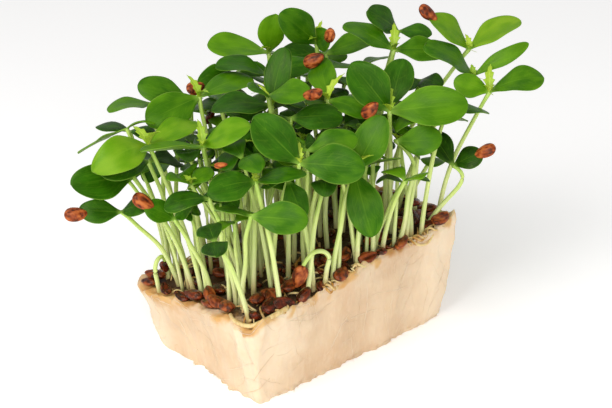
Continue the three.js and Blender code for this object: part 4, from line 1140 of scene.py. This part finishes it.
# Name | how many at most | region | how far aside crowns stand | their heights | leaf sizes | light taken at most
# | spots tried | neighbours | thinnest and thickest stem | finish slot.
for name, wanted, region, aside, heights, sizes, shade, spots, beside, thin, thick, slot in (
    ("close_seedlings", 40, lambda x, y: y < 0 or x < -20, (0, 0), (90, 120), (0.6, 0.2), 0.06, 1600,
     outer, 0.72, 0.9, "leaf_green"),
    ("front_seedlings", 36, lambda x, y: x < 14 and y < -6, (-6, 11), (100, 123), (0.7, 0.25), 0.06, 2600,
     (), 0.75, 0.95, "leaf_dark_green"),
    ("middle_seedlings", 60, lambda x, y: True, (0, 0), (92, 127), (0.95, 0.3), 0.06, 900,
     (), 0.75, 0.95, "leaf_dark_green"),
    ("back_seedlings", 30, lambda x, y: y > 0, (0, 0), (90, 125), (0.95, 0.4), 0.08, 500,
     (), 0.75, 0.95, "leaf_dark_green"),
):
    made = more_seedlings(stand, wanted, random, region, aside, heights, sizes, shade, spots, beside)
    skin = Skin()
    for plant in made:
        add_seedling(skin, plant, random, slim=random.uniform(thin, thick), fine=False)
    skin.piece(name, GREEN, slot)
    standing = standing + made

# ---- Hulls: worn, on the sprout, and lying on the mat ----
for k, heap in enumerate(LYING_HULLS):
    skin = Skin()
    for n, (x, y, heading, slope) in enumerate(heap):
        centre = (x, y, top_height(x, y) + HULL_THICK / 2 + 0.2)
        add_hull(skin, centre, direction(heading, slope), UPRIGHT, 0, 1, random.uniform(0.3, 0.9), 60 + 7 * k + n)
    skin.piece(f"fallen_hulls_{k + 1}", (seed_hull,), "hull_brown", [f"hulls_{k + 1:02d}"])
for k, (plant, leaf, roll) in enumerate(WORN_HULLS):
    blade = placed[plant]["leaves"][leaf]
    skin = Skin()
    centre = tip_of(blade) + blade["along"] * 1.2
    add_hull(skin, centre, -blade["along"], blade["up"], roll, 1, 0.05, 160 + 7 * k)
    skin.piece(f"worn_hull_{k + 1}", (seed_hull,), "hull_brown", [f"hulls_{len(LYING_HULLS) + k + 1:02d}"])
skin = Skin()
add_hull(skin, sprout[-1], sprout[-1] - sprout[-3], direction(LIGHT_AZIMUTH, 0), 0, 1, 0.25, 240)
skin.piece("sprout_hull", (seed_hull,), "hull_brown", ["hulls_16"])

# ---- The mat with its roots ----
skin = Skin()
add_mat(skin)
skin.piece("matted_roots", (matted_root,), "root_cream", ["root_mat"])
skin = Skin()
add_strands(skin, random, 150)
add_hairs(skin, random, 260)
add_loops(skin, random, 120)
add_rim_roots(skin, random, 16)
skin.piece("loose_roots", (root_strand, root_loop), "root_cream")

# ---- Litter of hulls between the stems ----
feet = np.array([plant["foot"][:2] for plant in standing])
skin = Skin()
for k, (x, y, above, heading, slope, roll, size, wet) in enumerate(NEAR_HULLS):
    centre = (x, y, top_height(x, y) + above)
    gape = 0.4 * (k % 3 == 1)
    add_hull(skin, centre, direction(heading, slope), UPRIGHT, roll, size, wet, 700 + 5 * k, 22, gape)
hook_end = hook[-1] + [0.2, 0.6, -3.0]
add_hull(skin, hook_end, hook[-1] - hook[-3], direction(LIGHT_AZIMUTH, 0), 0, 0.72, 0.95, 690, 22)
for k, (x, y, z, heading, slope, roll, size, wet) in enumerate(CAUGHT_HULLS):
    add_hull(skin, (x, y, z), direction(heading, slope), UPRIGHT, roll, size, wet, 900 + 5 * k, 22)
laid = [np.array(spot[:2]) for spot in NEAR_HULLS]
for k in range(LITTER_TRIES):
    spot = outline(random.uniform(0, 2 * np.pi)) * HALF * random.uniform(0.05, 0.86) ** 0.5
    size, heading = random.uniform(0.55, 0.95), random.uniform(0, 360)
    reach = direction(heading, 0)[:2] * HULL_LENGTH * size / 2
    line = spot + np.outer([-0.8, 0, 0.8], reach)
    near_stem = np.linalg.norm(line[:, None] - feet, axis=-1).min() < STEM_RADIUS + HULL_WIDTH * size / 2 * 0.75
    near_lying = np.linalg.norm(spot - lying[:, :2], axis=-1).min() < LYING_GAP
    near_litter = np.linalg.norm(spot - np.array(laid), axis=-1).min() < LITTER_GAP
    if near_stem or near_lying or near_litter:
        continue
    laid.append(spot)
    centre = (*spot, top_height(*spot) + HULL_THICK * size / 2 - 1.3)
    way, roll, wet = direction(heading, random.uniform(-14, 14)), random.uniform(-40, 40), random.uniform(0.7, 1)
    add_hull(skin, centre, way, UPRIGHT, roll, size, wet, 300 + k, 16, random.uniform(0, 0.5))
    if len(laid) == LITTER_COUNT:
        break
skin.piece("hull_litter", (seed_hull,), "hull_brown")

# ---- Floor, light and camera ----
floor_mesh = bpy.data.meshes.new("floor")
floor_mesh.from_pydata([(-4, -4, 0), (4, -4, 0), (4, 4, 0), (-4, 4, 0)], [], [(0, 1, 2, 3)])
floor = bpy.data.objects.new("floor", floor_mesh)
bpy.context.scene.collection.objects.link(floor)
paper = Finish("pale_floor", specular=0.1)
paper.shader.inputs["Emission Color"].default_value = (1.0, 1.0, 1.0, 1.0)
paper.shader.inputs["Emission Strength"].default_value = 0.22
floor_mesh.materials.append(paper.finish(tint(251, 250, 249), 0.9))

world = bpy.data.worlds.new("studio")
world.use_nodes = True
world.node_tree.nodes["Background"].inputs["Color"].default_value = (1.0, 1.0, 1.0, 1.0)
world.node_tree.nodes["Background"].inputs["Strength"].default_value = 0.52
bpy.context.scene.world = world
bpy.context.scene.view_settings.view_transform = "Standard"


def set_at(thing, axes, where):
    """Links an object and stands it at a point, in metres, with its own x, y and z along the three axes."""
    stance = Matrix.Identity(4)
    for i, column in enumerate((*axes, where)):
        for j in range(3):
            stance[j][i] = column[j]
    thing.matrix_world = stance
    bpy.context.scene.collection.objects.link(thing)


def softbox(name, azimuth, rise, distance, size, power):
    """A square lamp that faces the middle of the block."""
    way = direction(azimuth, rise)
    lamp = bpy.data.lights.new(name, "AREA")
    lamp.size, lamp.energy = size, power
    across = unit(np.cross(UPRIGHT, way))
    middle = np.array([0.0, 0.0, 0.07])
    set_at(bpy.data.objects.new(name, lamp), (across, np.cross(way, across), way), middle + way * distance)


softbox("key", -168, 50, 0.9, 0.5, 4.6)
softbox("front", -125, 20, 1.1, 0.5, 3.4)

# The camera: degrees round +Z, above level and about its own line of sight, millimetres from what it looks at, and
# its focal length and picture width in pixels.
CAMERA_AZIMUTH, CAMERA_RISE, CAMERA_ROLL, CAMERA_DISTANCE = -38.75, 26.7, -2.9, 759.0
CAMERA_TARGET = np.array([6.2, 0.9, 65.1])
FOCAL_PIXELS, WIDTH_PIXELS = 1600, 612
a, e, r = (math.radians(x) for x in (CAMERA_AZIMUTH, CAMERA_RISE, CAMERA_ROLL))
back = np.array([math.sin(a) * math.cos(e), -math.cos(a) * math.cos(e), math.sin(e)])
right = np.array([math.cos(a), math.sin(a), 0.0])
upward = np.cross(back, right)
axes = (math.cos(r) * right + math.sin(r) * upward, -math.sin(r) * right + math.cos(r) * upward, back)
lens = bpy.data.cameras.new("camera")
lens.sensor_width = 36
lens.lens = FOCAL_PIXELS / WIDTH_PIXELS * lens.sensor_width
lens.clip_start, lens.clip_end = 0.05, 20
camera = bpy.data.objects.new("camera", lens)
set_at(camera, axes, (CAMERA_TARGET + back * CAMERA_DISTANCE) * MM)
bpy.context.scene.camera = camera
